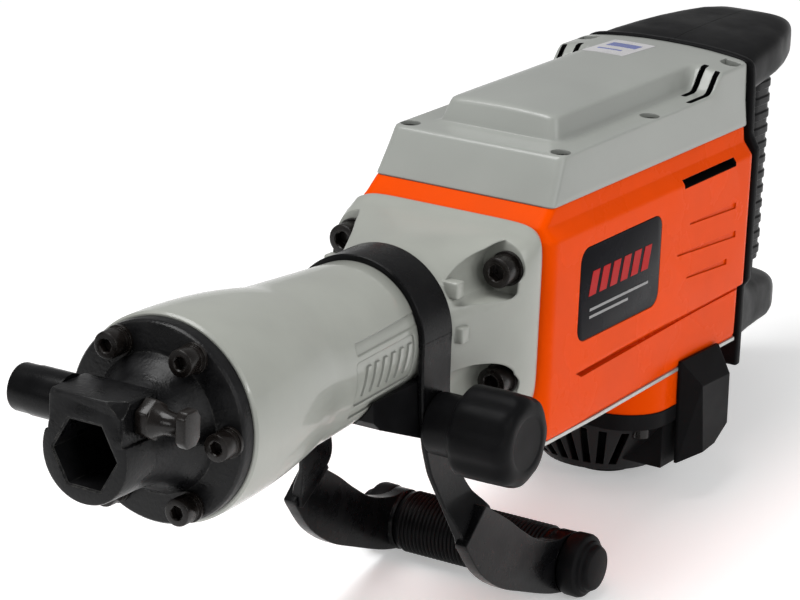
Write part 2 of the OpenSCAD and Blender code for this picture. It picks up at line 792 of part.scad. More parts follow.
// ---------- rear handle ----------
// Sections of the two legs: [y, half width, low z, high z]
module leg(sections) {
    hull() for (s = sections) {
        r = 7;
        for (x = [-s[1] + r, s[1] - r], z = [s[2] + r, s[3] - r])
            translate([x, s[0], z]) rotate([90, 0, 0]) cylinder(h = 1, r = r, $fn = 24);
    }
}
module grip_stadium(y0, r, half_depth, z0, z1) {
    for (s = [-1, 1]) translate([0, y0 + s * (half_depth - r), z0]) cylinder(h = z1 - z0, r = r);
    translate([-r, y0 - half_depth + r, z0]) cube([2 * r, 2 * (half_depth - r), z1 - z0]);
}
module handle_solid() {
    // flange that follows the housing's rear edge
    xz_slab(body_y1, flange_y1) {
        polygon([[-58.5, -39], [-58.5, 37.5], [-54, 44.5], [-52.5, 77], [-46, 85.5], [-30, 89.5], [30, 89.5],
                 [46, 85.5], [52.5, 77], [54, 44.5], [58.5, 37.5], [58.5, -39], [55.5, -43], [55.5, -90],
                 [-55.5, -90], [-55.5, -43]]);
    }
    leg([[flange_y1, 50, 62, 90.5], [600, 42, 63, 91.8], [636, 31, 64, 91.5]]);
    leg([[636, 31, 64, 91.5], [648, 26, 63, 89], [658, 20, 62, 83]]);
    leg([[flange_y1, 50, -84, -44], [600, 35, -87, -56], [660, 21, -94, -66]]);
    grip_stadium(grip_y, 12.5, 17, -70, 66);
}
module handle_cavity() {
    translate([-9.5, grip_y - 12, -20]) cube([19, 24, 62]);
    // slot for the trigger's stem
    translate([-6.2, grip_y - 30, -8]) cube([12.4, 20, 46]);
    along_x(-30, 0, grip_y + 2, 46, 4.6);
    along_z(-100, -74, 628, 8);
    for (p = handle_screw_places) {
        along_x(-60, 60, p[0], p[1], 2.2);
        along_x(-60, -15.4, p[0], p[1], 4.8);
    }
}
handle_screw_places = [[565, 76], [618, 78], [565, -60], [618, -75]];
module handle_left() {
    color("#1e1f20") intersection() {
        difference() {
            handle_solid();
            handle_cavity();
        }
        translate([-100, 500, -150]) cube([100, 250, 300]);
    }
}
module handle_right() {
    color("#1e1f20") intersection() {
        difference() {
            handle_solid();
            handle_cavity();
        }
        translate([0, 500, -150]) cube([100, 250, 300]);
    }
}
module grip_sleeve() {
    color("#161617")
    difference() {
        union() {
            grip_stadium(grip_y, grip_half - 0.8, 19.2, -58, 56);
            for (k = [0 : 9]) grip_stadium(grip_y, grip_half, 20, -56 + k * 11.4, -48 + k * 11.4);
        }
        grip_stadium(grip_y, 12.5, 17, -60, 60);
        translate([-8, grip_y - 25, -14]) cube([16, 16, 60]);
        along_x(-30, -10, grip_y + 2, 46, 5.4);
    }
}
module trigger() {
    color("#111112") {
        yz_slab(-7.4, 7.4, [[grip_y - 27.5, 42], [grip_y - 30, 38], [grip_y - 31.5, 15], [grip_y - 29.5, -6],
                            [grip_y - 27, -10], [grip_y - 25.8, -10], [grip_y - 25.8, 42]]);
        translate([-5.8, grip_y - 26, -6]) cube([11.6, 8, 42]);
    }
}
module lock_button() {
    color("#7a1512")
    along_x(-19, -12, grip_y + 2, 46, 4.3);
}
module switch_body() {
    color("#232426")
    translate([-9.2, grip_y - 7, -15]) cube([18.4, 17, 52]);
}
module handle_screws() {
    color("#3a3b3d")
    for (p = handle_screw_places) translate([-18.5, p[0], p[1]]) rotate([0, 0, -90]) socket_screw(4, 3, 3, 2, 24);
}
module cord_gland() {
    color("#101011")
    difference() {
        along_z(-91.5, -74, 628, 7.9);
        along_z(-92, -73, 628, 4.6);
    }
}

// ---------- side handle ----------
module clamp_strap() {
    color("#1b1c1e") {
        difference() {
            union() {
                along_y(band_y0, band_y1, band_r);
                both_sides() yz_slab(arm_in, arm_out, [[band_y0, 0], [band_y1, 0], [band_y1 + 0.5, -30],
                    [band_y1 + 4, -52], [band_y1 + 12, -70], [band_y0 + 13, -70], [band_y0 + 5, -50],
                    [band_y0 + 0.5, -28]]);
            }
            along_y(band_y0 - 1, band_y1 + 1, neck_r + 0.3);
            translate([-arm_in, band_y0 - 1, -80]) cube([2 * arm_in, band_w + 30, 80]);
            both_sides() along_x(30, 50, knob_y, knob_z, 4.6);
        }
        both_sides() hull() {
            yz_slab(arm_in, arm_out, [[band_y0 + 13, -70], [band_y1 + 12, -70], [band_y1 + 11, -69], [band_y0 + 12.5, -69]]);
            yz_slab(46, 49.4, [[253, -112], [277, -98], [276, -96], [251.5, -110.5]]);
        }
    }
}
module clamp_saddle() {
    color("#202123")
    difference() {
        yz_slab(-arm_in + 0.2, arm_in - 0.2,
                [[183, -18], [185, -29], [191, -34], [band_y0 + 9, -50], [band_y1, -53], [band_y1, -18]]);
        turned([[0, 170], [neck_profile(170) + 0.35, 170], [neck_profile(band_y0 - 1) + 0.35, band_y0 - 1],
                [neck_r + 0.35, band_y0],
                [neck_r + 0.35, band_y1 + 10], [0, band_y1 + 10]]);
        along_x(-50, 50, knob_y, knob_z, 4.2);
        both_sides() yz_slab(arm_in - 3, arm_in + 3, [[170, -12], [170, -24], [183, -24], [183, -12]]);
    }
}
module clamp_bolt() {
    color("#3b3d40")
    difference() {
        union() {
            along_x(-arm_out - 6, 62, knob_y, knob_z, 4);
            translate([-arm_out - 6.5, knob_y, knob_z]) rotate([0, 90, 0]) cylinder(h = 6.4, r = 7.5, $fn = 6);
        }
        along_x(60, 63, knob_y, knob_z, 1.5);
    }
}
module clamp_knob() {
    flutes = 8;
    x0 = 58.5;
    x1 = 92.6;
    color("#1a1a1c")
    difference() {
        translate([0, knob_y, knob_z]) rotate([0, 90, 0]) rotate_extrude() polygon([
            [4 + run, arm_out + 0.3], [15, arm_out + 0.3], [16, arm_out + 1.3], [16, x0], [knob_r - 1.5, x0],
            [knob_r, x0 + 1.5], [knob_r, x1 - 4], [knob_r - 1.2, x1 - 1.3], [knob_r - 4, x1], [0, x1],
            [0, 62.3], [4 + run, 62.3]]);
        for (k = [0 : flutes - 1])
            translate([x0 + 2, knob_y, knob_z]) rotate([k * 360 / flutes + 12, 0, 0])
                translate([0, 0, knob_r + 18.9]) rotate([0, 90, 0]) cylinder(h = x1 - x0 - 9, r = 20);
    }
}
plate_top = [[268, -93], [277, -97], [290, -105], [302, -116.5], [321, -127], [345, -134], [356, -134.5]];
plate_low = [[356, -167.5], [333, -160], [304, -151], [282, -141.5], [262, -127.5], [247, -111]];
module side_plates() {
    color("#1b1c1e")
    both_sides() difference() {
        union() {
            yz_slab(49.4, 55.2, concat(plate_top, plate_low));
            along_x(46.5, 55.2, bar_y, bar_z, 16.8);
        }
        along_x(40, 60, bar_y, bar_z, 9);
    }
}
module handle_bar() {
    color("#2a2b2d")
    along_x(-66, 66, bar_y, bar_z, 9);
}
module bar_grip() {
    ribs = 19;
    half = 46.5;
    pitch = 2 * (half - 5) / ribs;
    outline = concat([[9, -half], [bar_grip_r - 2.5, -half], [bar_grip_r - 0.6, -half + 4.4]],
        [for (k = [0 : ribs - 1]) let (y = -half + 5 + k * pitch) each
            [[bar_grip_r, y + 0.2], [bar_grip_r, y + pitch * 0.6], [bar_grip_r - 1.5, y + pitch * 0.72],
             [bar_grip_r - 1.5, y + pitch * 0.92]]],
        [[bar_grip_r - 0.6, half - 4.4], [bar_grip_r - 2.5, half], [9, half]]);
    color("#141415")
    translate([0, bar_y, bar_z]) rotate([0, 90, 0]) rotate_extrude() polygon(outline);
}
module bar_caps() {
    color("#18181a")
    both_sides() translate([0, bar_y, bar_z]) rotate([0, 90, 0]) rotate_extrude() polygon([
        [9, 55.2], [15, 55.2], [17.3, 57.2], [17.3, 65.5], [15.8, 68.4], [12.6, 68.8], [12.3, 71.4],
        [11.4, 72], [0, 72], [0, 66], [9, 66]]);
}

front_cover();
nose_bolts();
washers();
lever_cap();
stop_lever();
lever_clip();
lever_spring();
hex_bushing();
barrel_case();
barrel_bolts();
cylinder_liner();
anvil_guide();
buffer_ring();
impact_bolt();
striker();
striker_o_ring();
piston();
piston_o_ring();
wrist_pin();
connecting_rod();
crankshaft();
final_gear();
crank_bearings();
bearing_carrier();
intermediate_gear();
intermediate_pin();
inner_cover();
armature_shaft();
armature_core();
commutator();
cooling_fan();
motor_bearings();
stator();
brush_holders();
carbon_brushes();
brush_cover_left();
brush_cover_right();
body_housing();
motor_housing();
motor_ring();
tail_cover();
cover_screws();
top_cover();
handle_left();
handle_right();
grip_sleeve();
trigger();
lock_button();
switch_body();
handle_screws();
cord_gland();
clamp_strap();
clamp_saddle();
clamp_bolt();
clamp_knob();
side_plates();
handle_bar();
bar_grip();
bar_caps();
side_badges();
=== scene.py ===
import bpy, bmesh, math
from mathutils import Euler, Matrix, Vector


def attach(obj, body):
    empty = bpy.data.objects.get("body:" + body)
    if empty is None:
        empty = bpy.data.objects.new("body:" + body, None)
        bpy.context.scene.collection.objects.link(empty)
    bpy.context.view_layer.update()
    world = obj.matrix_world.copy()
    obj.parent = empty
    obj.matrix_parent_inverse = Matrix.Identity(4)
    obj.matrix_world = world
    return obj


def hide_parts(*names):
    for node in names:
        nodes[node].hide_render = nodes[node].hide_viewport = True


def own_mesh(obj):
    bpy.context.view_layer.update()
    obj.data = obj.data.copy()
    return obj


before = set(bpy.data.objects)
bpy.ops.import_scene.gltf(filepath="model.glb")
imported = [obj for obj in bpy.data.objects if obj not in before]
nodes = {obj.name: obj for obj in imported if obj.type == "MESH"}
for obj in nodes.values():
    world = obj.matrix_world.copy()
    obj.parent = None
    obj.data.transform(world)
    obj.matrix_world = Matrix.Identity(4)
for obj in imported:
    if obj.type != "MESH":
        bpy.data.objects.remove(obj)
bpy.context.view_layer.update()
MM = 0.001
sin, cos, pi = math.sin, math.cos, math.pi
scene = bpy.context.scene

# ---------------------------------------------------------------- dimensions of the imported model, millimetres
LEVER_Y, LEVER_Z = 17, 17.5             # axis of the stop lever, along X
LEVER_AXIS = (0, LEVER_Y, LEVER_Z)
CLAMP_Y, CLAMP_Z = 238.3, -42           # axis of the clamp's bolt and knob, along X
CLAMP_AXIS = (0, CLAMP_Y, CLAMP_Z)
BAR_Y, BAR_Z = 359, -151                # axis of the side handle's bar, along X
BAR_AXIS = (0, BAR_Y, BAR_Z)
GRIP_Y = 640                            # middle of the rear grip
SOCKET_CORNER = 17.55                   # axis to corner of the chisel's hexagonal socket
NOSE_SCREW_CIRCLE = 41.2
FLANGE_BOLT_X, FLANGE_BOLT_Z = 45.7, (26.1, -32)
SIDE_X = 59.5                           # half the width of the orange housing
REAR_Y = 543.2                          # rear face of the housing and the top cover
MECHANISM_R = 33.2                      # bore that the crank and its rod work in
COVER_SCREW_X, COVER_SCREW_Y = 44.9, (342.4, 438.5, 531)

# ---------------------------------------------------------------- materials
CORNER_SHADE_REACH = 0.006                     # metres: how far from a corner the painted shade reaches
WEAR_SCALE = 350                        # noise scale of the chips on worn edges
MATERIALS = {}
def mat(name, base, rough=0.4, metal=0.0, coat=0.0, coat_rough=0.06, tint=0.08, tint_scale=60.0, bump=0.1,
        bump_scale=900.0, bump_dist=0.0002, wear=None, wear_amount=0.35, edge=0.0006, rough_var=0.12, spec=0.5,
        corner_shade=0.0, brushed=None, shine=(1, 1, 1)):
    """finish with a mottled colour, painted shade in corners, chipped edges, uneven gloss and a fine bump"""
    material = bpy.data.materials.new(name)
    material.use_nodes = True
    tree = material.node_tree
    tree.nodes.clear()
    link = tree.links.new

    def node(kind, inputs=None, **settings):
        new = tree.nodes.new("ShaderNode" + kind)
        for key, value in settings.items():
            setattr(new, key, value)
        for key, value in (inputs or {}).items():
            new.inputs[key].default_value = value
        return new

    output = node("OutputMaterial")
    shader = node("BsdfPrincipled", {"Metallic": metal, "Coat Weight": coat, "Coat Roughness": coat_rough,
                                     "Specular IOR Level": spec, "Specular Tint": tuple(shine) + (1,)})
    link(shader.outputs[0], output.inputs[0])
    coords = node("TexCoord").outputs["Object"]
    mottle = node("TexNoise", {"Scale": tint_scale, "Detail": 6})
    link(coords, mottle.inputs["Vector"])
    darker = tuple(c * (1 - tint) for c in base) + (1,)
    lighter = tuple(min(1, c * (1 + tint)) for c in base) + (1,)
    shades = node("ValToRGB")
    stops = shades.color_ramp.elements
    stops[0].position, stops[1].position = 0.3, 0.7
    stops[0].color, stops[1].color = darker, lighter
    link(mottle.outputs["Fac"], shades.inputs[0])
    colour = shades.outputs[0]
    # painted shade: ambient occlusion darkens the colour in corners, creases and recesses, where shade falls
    if corner_shade:
        occlusion = node("AmbientOcclusion", {"Distance": CORNER_SHADE_REACH}, samples=4)
        corner_shaded = node("Mix", data_type="RGBA")
        corner_shaded.inputs["A"].default_value = tuple(c * (1 - corner_shade) for c in base) + (1,)
        link(occlusion.outputs["AO"], corner_shaded.inputs["Factor"])
        link(colour, corner_shaded.inputs["B"])
        colour = corner_shaded.outputs["Result"]
    rounded = node("Bevel", {"Radius": edge}, samples=4)
    if wear:
        geometry = node("NewGeometry")
        facing = node("VectorMath", operation="DOT_PRODUCT")
        link(rounded.outputs[0], facing.inputs[0])
        link(geometry.outputs["Normal"], facing.inputs[1])
        chips = node("TexNoise", {"Scale": WEAR_SCALE, "Detail": 8})
        link(coords, chips.inputs["Vector"])
        on_edge = node("MapRange", {"From Min": 0.97, "From Max": 0.86})
        link(facing.outputs["Value"], on_edge.inputs["Value"])
        mask = node("Math", operation="MULTIPLY", use_clamp=True)
        chipped = node("MapRange", {"From Min": 0.62 - wear_amount * 0.4, "From Max": 0.75 - wear_amount * 0.2})
        link(chips.outputs["Fac"], chipped.inputs["Value"])
        link(on_edge.outputs["Result"], mask.inputs[0])
        link(chipped.outputs["Result"], mask.inputs[1])
        worn = node("Mix", data_type="RGBA")
        worn.inputs["B"].default_value = tuple(wear) + (1,)
        link(mask.outputs[0], worn.inputs["Factor"])
        link(colour, worn.inputs["A"])
        colour = worn.outputs["Result"]
    link(colour, shader.inputs["Base Color"])
    grain = node("TexNoise", {"Scale": bump_scale, "Detail": 5})
    if brushed:
        stretch = node("Mapping", {"Scale": brushed})
        link(coords, stretch.inputs["Vector"])
        link(stretch.outputs[0], grain.inputs["Vector"])
    else:
        link(coords, grain.inputs["Vector"])
    gloss = node("MapRange", {"From Min": 0.3, "From Max": 0.7, "To Min": max(0.02, rough - rough_var),
                              "To Max": min(1, rough + rough_var)})
    link(mottle.outputs["Fac"], gloss.inputs["Value"])
    link(gloss.outputs["Result"], shader.inputs["Roughness"])
    height = node("Bump", {"Strength": bump, "Distance": bump_dist})
    link(grain.outputs["Fac"], height.inputs["Height"])
    link(rounded.outputs[0], height.inputs["Normal"])
    link(height.outputs[0], shader.inputs["Normal"])
    link(rounded.outputs[0], shader.inputs["Coat Normal"])
    MATERIALS[name] = material

# several finishes below get painted shade in their corners, darker where ambient occlusion finds nearby
# surfaces
mat("orange_shell", (0.80, 0.066, 0.0), 0.26, spec=0.045, shine=(1, 0.5, 0.2), tint=0.05, tint_scale=25,
    bump=0.06, bump_scale=260, bump_dist=0.0003, rough_var=0.06, corner_shade=0.3)
mat("grey_paint", (0.335, 0.345, 0.312), 0.36, coat=0.45, coat_rough=0.06, spec=0.35, tint=0.05, tint_scale=30,
    bump=0.12, bump_scale=190, bump_dist=0.0005, rough_var=0.06, corner_shade=0.35, edge=0.0012)
mat("grey_plastic", (0.31, 0.322, 0.30), 0.38, coat=0.4, coat_rough=0.09, spec=0.35, tint=0.04, tint_scale=20,
    bump=0.08, bump_scale=300, bump_dist=0.0003, rough_var=0.05, corner_shade=0.35, edge=0.001)
mat("black_oxide_steel", (0.006, 0.006, 0.0065), 0.33, metal=0.0, spec=0.2, tint=0.45, tint_scale=70, bump=0.5,
    bump_scale=520, bump_dist=0.0004, rough_var=0.14, wear=(0.10, 0.098, 0.09), wear_amount=0.5, edge=0.0007)
mat("bolt_steel", (0.0075, 0.0058, 0.005), 0.28, metal=0.0, spec=0.3, tint=0.4, tint_scale=120, bump=0.35,
    bump_scale=900, bump_dist=0.0002, rough_var=0.12, wear=(0.07, 0.06, 0.052), wear_amount=0.4, edge=0.0005)
mat("bright_steel", (0.45, 0.46, 0.48), 0.28, metal=1.0, tint=0.12, tint_scale=90, bump=0.15, bump_scale=500,
    brushed=(1, 0.1, 1), rough_var=0.08, edge=0.0004)
mat("black_plastic", (0.0055, 0.0055, 0.006), 0.42, spec=0.055, tint=0.25, tint_scale=50, bump=0.35,
    bump_scale=1500, bump_dist=0.0002, rough_var=0.08, edge=0.001)
mat("black_paint", (0.0035, 0.0035, 0.004), 0.28, spec=0.12, tint=0.25, tint_scale=80, bump=0.16,
    bump_scale=420, bump_dist=0.0003, rough_var=0.08, wear=(0.06, 0.06, 0.058), wear_amount=0.3, edge=0.0007)
mat("black_rubber", (0.004, 0.004, 0.0045), 0.36, spec=0.12, tint=0.25, tint_scale=70, bump=0.3,
    bump_scale=1300, bump_dist=0.0002, rough_var=0.1, edge=0.0005)
mat("badge_black", (0.004, 0.004, 0.006), 0.25, spec=0.035, tint=0.2, bump=0.04, edge=0.0004, rough_var=0.05)
mat("red_plastic", (0.38, 0.02, 0.012), 0.35, tint=0.1, bump=0.1, edge=0.0005)
mat("cast_aluminium", (0.55, 0.56, 0.54), 0.42, metal=0.6, tint=0.1, bump=0.4, bump_scale=700, edge=0.0008)
mat("copper", (0.62, 0.27, 0.13), 0.3, metal=1.0, tint=0.15, bump=0.15, edge=0.0003)
mat("winding", (0.42, 0.17, 0.06), 0.35, metal=0.6, tint=0.3, tint_scale=200, bump=0.7, bump_scale=600,
    bump_dist=0.0006, brushed=(1, 1, 0.15), edge=0.0005)
mat("lamination", (0.17, 0.17, 0.18), 0.4, metal=0.9, tint=0.2, bump=0.6, bump_scale=900, bump_dist=0.0004,
    brushed=(0.05, 0.05, 1.5), edge=0.0005)
mat("carbon", (0.04, 0.04, 0.042), 0.6, tint=0.3, bump=0.4, edge=0.0004)
mat("badge_red", (0.42, 0.006, 0.006), 0.35, spec=0.08, tint=0.06, bump=0.05, edge=0.0002)
mat("badge_pale", (0.30, 0.30, 0.30), 0.4, spec=0.1, tint=0.06, bump=0.05, edge=0.0002)
mat("label_paper", (0.56, 0.55, 0.56), 0.3, coat=0.3, tint=0.05, bump=0.05, edge=0.0002)
mat("label_blue", (0.10, 0.13, 0.38), 0.3, coat=0.3, tint=0.15, bump=0.05, edge=0.0002)
mat("brass", (0.62, 0.45, 0.17), 0.3, metal=1.0, tint=0.12, bump=0.15, edge=0.0004)

# ---------------------------------------------------------------- mesh helpers (millimetres in, metres out)
def weld(me, dist):
    bm = bmesh.new()
    bm.from_mesh(me)
    bmesh.ops.remove_doubles(bm, verts=bm.verts, dist=dist)
    bmesh.ops.recalc_face_normals(bm, faces=bm.faces)
    bm.to_mesh(me)
    bm.free()

def make(name, verts, faces):
    me = bpy.data.meshes.new(name)
    me.from_pydata([tuple(c * MM for c in v) for v in verts], [], faces)
    ob = bpy.data.objects.new(name, me)
    scene.collection.objects.link(ob)
    weld(me, 1e-7)
    return ob

def loft(name, rings):
    """skin through rings of equal length, closed at both ends"""
    n = len(rings[0])
    v = [p for r in rings for p in r]
    f = []
    k = len(rings)
    for i in range(k - 1):
        a, b = i * n, (i + 1) * n
        for j in range(n):
            j2 = (j + 1) % n
            f.append((a + j, a + j2, b + j2, b + j))
    f.append(tuple(range(n))[::-1])
    f.append(tuple(range((k - 1) * n, k * n)))
    return make(name, v, f)

def revolve(name, profile, axis="y", at=(0, 0, 0), n=96, closed=False):
    """turns a profile of (radius, along) points round the axis; closed joins its last point to its first"""
    rings = []
    for i in range(n):
        a = 2 * pi * i / n
        ring = []
        for r, s in profile:
            if axis == "y":
                q = (r * cos(a), s, r * sin(a))
            elif axis == "x":
                q = (s, r * cos(a), r * sin(a))
            else:
                q = (r * cos(a), r * sin(a), s)
            ring.append(tuple(q[k] + at[k] for k in range(3)))
        rings.append(ring)
    m = len(profile)
    v = [p for r in rings for p in r]
    f = []
    for i in range(n):
        a, b = i * m, ((i + 1) % n) * m
        for j in range(m if closed else m - 1):
            j2 = (j + 1) % m
            f.append((a + j, a + j2, b + j2, b + j))
    return make(name, v, f)

def rrect(hw, a0, a1, r0, r1=None, n=7):
    """rounded rectangle, points (across, along), counter-clockwise from the low right corner"""
    r1 = r0 if r1 is None else r1
    pts = []
    for cx, cy, r, s in ((hw, a0, r0, -90), (hw, a1, r1, 0), (-hw, a1, r1, 90), (-hw, a0, r0, 180)):
        ox = cx - r if cx > 0 else cx + r
        oy = cy + r if cy == a0 else cy - r
        for k in range(n + 1):
            t = math.radians(s + 90 * k / n)
            pts.append((ox + r * cos(t), oy + r * sin(t)))
    return pts

def prism(name, outline, axis, a, b):
    def q(p, s):
        return {"x": (s, p[0], p[1]), "y": (p[0], s, p[1]), "z": (p[0], p[1], s)}[axis]
    return loft(name, [[q(p, a) for p in outline], [q(p, b) for p in outline]])

def cylinder(name, axis, at, r, a, b, n=48):
    return revolve(name, [(0, a), (r, a), (r, b), (0, b)], axis, at, n)

def box(name, x0, x1, y0, y1, z0, z1):
    return prism(name, [(x0, y0), (x1, y0), (x1, y1), (x0, y1)], "z", z0, z1)

def bake(ob):
    dg = bpy.context.evaluated_depsgraph_get()
    dg.update()
    me = bpy.data.meshes.new_from_object(ob.evaluated_get(dg))
    ob.modifiers.clear()
    ob.data = me
    return ob

def boolean(ob, others, op="DIFFERENCE"):
    for o in (others if isinstance(others, (list, tuple)) else [others]):
        md = ob.modifiers.new("b", "BOOLEAN")
        md.operation, md.solver, md.object = op, "EXACT", o
        bake(ob)
        bpy.data.objects.remove(o)
    return ob

def bevel(ob, width, segments=3, angle=35):
    md = ob.modifiers.new("v", "BEVEL")
    md.width, md.segments = width * MM, segments
    md.limit_method, md.angle_limit = "ANGLE", math.radians(angle)
    md.use_clamp_overlap = True
    return bake(ob)

def mirrored(ob, name):
    o2 = bpy.data.objects.new(name, ob.data.copy())
    scene.collection.objects.link(o2)
    o2.data.transform(Matrix.Scale(-1, 4, (1, 0, 0)))
    o2.data.flip_normals()
    return o2

def join(obs, name):
    v, f = [], []
    for o in obs:
        base = len(v)
        v += [tuple(c / MM for c in p.co) for p in o.data.vertices]
        f += [tuple(base + i for i in q.vertices) for q in o.data.polygons]
        bpy.data.objects.remove(o)
    me = bpy.data.meshes.new(name)
    me.from_pydata([tuple(c * MM for c in p) for p in v], [], f)
    ob = bpy.data.objects.new(name, me)
    scene.collection.objects.link(ob)
    return ob

def place(ob, body, slot, *nodes_replaced, angle=38, material=None):
    ob.data.materials.clear()
    ob.data.materials.append(MATERIALS[material or slot])
    for q in ob.data.polygons:
        q.use_smooth = True
    ob.data.set_sharp_from_angle(angle=math.radians(angle))
    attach(ob, body)
    if nodes_replaced:
        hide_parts(*nodes_replaced)
    return ob

# the CAD nodes that stay: each slot gets its procedural material
for cad_object in nodes.values():
    for slot in cad_object.material_slots:
        key = slot.material.name.split(".")[0]
        if key in MATERIALS:
            slot.material = MATERIALS[key]

# ---------------------------------------------------------------- barrel casting
def bell_r(y):
    if y <= 144.7:
        return 50.5 - 8.3 * max(0, (y - 62.5) / 82.2) ** 2.2
    return 42.2 - 4.9 * (y - 144.7) / 77.6

prof = [(28, 62.5), (49.3, 62.5), (50.4, 63.8)]
prof += [(bell_r(y), y) for y in range(67, 145, 6)] + [(42.2, 144.7)]
prof += [(bell_r(y), y) for y in (152, 160, 175, 190, 205, 221.5)] + [(36.6, 222.6), (36.6, 252), (28, 252)]
bell = revolve("bell", prof, n=160, closed=True)

def shell_cut(depth, x0, x1, y0, y1, z0, z1, r):
    """cutter for a recess that follows the neck's surface"""
    c = prism("c", [(p[1], p[0]) for p in rrect((z1 - z0) / 2, y0, y1, r)], "x", x0, x1)
    c.data.transform(Matrix.Translation((0, 0, (z0 + z1) / 2 * MM)))
    neck = [(bell_r(y) - depth, y) for y in (150, 165, 180, 195, 210, 230)]
    core = revolve("core", [(0, 150)] + neck + [(0, 230)], n=160)
    return boolean(c, core)

cuts = [shell_cut(1.0, 20, 60, 163, 230, 11.2, 17.2, 1.5), shell_cut(0.9, 20, 60, 161, 218.5, -13.5, 8.5, 2.5),
        shell_cut(1.0, 20, 60, 161, 230, -20.5, -15.8, 1.5)]
for c in cuts:
    boolean(bell, [c, mirrored(c, "c2")])
bars = []
for k in range(6):
    y = 168 + 8.2 * k
    c = prism("bar", [(y, -9.5), (y + 3.6, -9.5), (y + 7.4, 4.5), (y + 3.8, 4.5)], "x", 20, 60)
    outer = revolve("o", [(0, 150)] + [(bell_r(y2) + 0.15, y2) for y2 in (150, 180, 222)] + [(0, 222)], n=160)
    boolean(c, outer, "INTERSECT")
    inner = revolve("i", [(0, 140)] + [(bell_r(y2) - 1.3, y2) for y2 in (140, 180, 230)] + [(0, 230)], n=160)
    boolean(c, inner)
    bars += [c, mirrored(c, "bar2")]

def squircle(hw, zt, zb, p, y, n=96):
    ring = []
    for i in range(n):
        a = 2 * pi * (i + 0.5) / n
        c, s = cos(a), sin(a)
        x = hw * math.copysign(abs(c) ** (2 / p), c)
        z = (zt if s > 0 else zb) * math.copysign(abs(s) ** (2 / p), s)
        ring.append((x, y, z))
    return ring

# half width, height above and below the axis, exponent and y of each ring
CONE_RINGS = (
    (36.4, 36.4, 36.4, 2.0, 250.8), (38.4, 38.2, 38.4, 2.0, 251.2), (39.2, 38.8, 39.4, 2.02, 253),
    (41.5, 39.6, 41.5, 2.2, 259), (45.5, 40.4, 44.5, 2.6, 267), (50.2, 41.0, 47.6, 3.2, 276),
    (54.4, 41.6, 50.2, 4.2, 285), (56.8, 42.0, 51.6, 5.6, 292), (57.6, 42.6, 52.2, 7.0, 298),
    (57.8, 43.6, 52.6, 8.0, 303), (57.4, 45.2, 53.2, 9, 306.5), (56.0, 45.6, 53.0, 9, 309),
    (40, 36, 40, 4, 309))
cone = loft("cone", [squircle(*s) for s in CONE_RINGS])
cuts = []
for z, z0, z1 in ((FLANGE_BOLT_Z[0], 13.0, 40.2), (FLANGE_BOLT_Z[1], -49.5, -19.0)):
    pocket = prism("pk", rrect(9.2, z0, z1, 3.5, 8.0), "y", 240, 292.5)
    pocket.data.transform(Matrix.Translation((45.6 * MM, 0, 0)))
    round_end = cylinder("pk2", "y", (43.5, 0, z), 12.3, 240, 292.5)
    cuts += [pocket, round_end, mirrored(pocket, "m"), mirrored(round_end, "m")]
boolean(cone, cuts)
bevel(cone, 1.1, 3, 40)
boolean(cone, cylinder("bore", "y", (0, 0, 0), MECHANISM_R, 240, 320, 96))
lugs = []
for x, z in ((34.5, 21.5), (38.6, -1)):
    for s in (1, -1):
        lb = box("lug", s * x - 5, s * x + 5, 254.0, 261.0, z - 4.25, z + 4.25)
        lugs.append(bevel(lb, 0.9, 3))
barrel = join([bell, cone] + bars + lugs, "barrel_casting")
place(barrel, "housing", "grey_paint", "barrel_case", angle=32)

# ---------------------------------------------------------------- orange housing
def plan_ring(hw, y0, y1, rf, rr, z, taper):
    """plan outline at height z, with the side tapering in towards the rear"""
    ya, yb = y0 + rf, y1 - rr
    side = [(hw - taper * min(1, max(0, (y - 342) / 145)), y) for y in (ya + 1.5, 342, 390, 440, 487, yb - 1.5)]
    pts = []
    for k in range(9):
        t = math.radians(-90 + 90 * k / 8)
        pts.append((hw - rf + rf * cos(t), y0 + rf + rf * sin(t)))
    pts += side
    h2 = hw - taper
    for k in range(7):
        t = math.radians(90 * k / 6)
        pts.append((h2 - rr + rr * cos(t), y1 - rr + rr * sin(t)))
    full = pts + [(-x, y) for x, y in reversed(pts)]
    return [(x, y, z) for x, y in full]

# height, half width, front face, taper towards the rear
levels = [(-72.0, 57.8, 311.6, 3.5), (-70.2, 58.9, 310.6, 3.5), (-68.5, 59.4, 310, 3.5),
          (-55, SIDE_X, 310, 3.5), (-42.2, SIDE_X, 309.7, 3.5),
          (-41.2, SIDE_X, 309.6, 3.3), (-39.2, SIDE_X, 309.6, 0.3), (-38.2, SIDE_X, 309.6, 0),
          (0, SIDE_X, 309.4, 0), (34.6, SIDE_X, 309.2, 0), (35.9, 59.3, 309.2, 0), (36.8, 58.7, 309.4, 0),
          (42.4, 54.3, 311.6, 0), (43.4, 53.9, 312.6, 0), (50.4, 53.2, 320.8, 0), (51.2, 52.8, 321.6, 0)]
shell = loft("shell", [plan_ring(h, y0, REAR_Y, 10 if z < 40 else 5, 8, z, t) for z, h, y0, t in levels])
cuts = [box("v", 30, 70, 457, 518, 33.8, 38.4)]

def groove(y0, y1, za, zb, h, depth):
    return prism("g", [(y0, za - h * 0.15), (y1, zb - h / 2), (y1, zb + h / 2), (y0, za + h * 0.15)], "x",
                 SIDE_X - depth, 70)

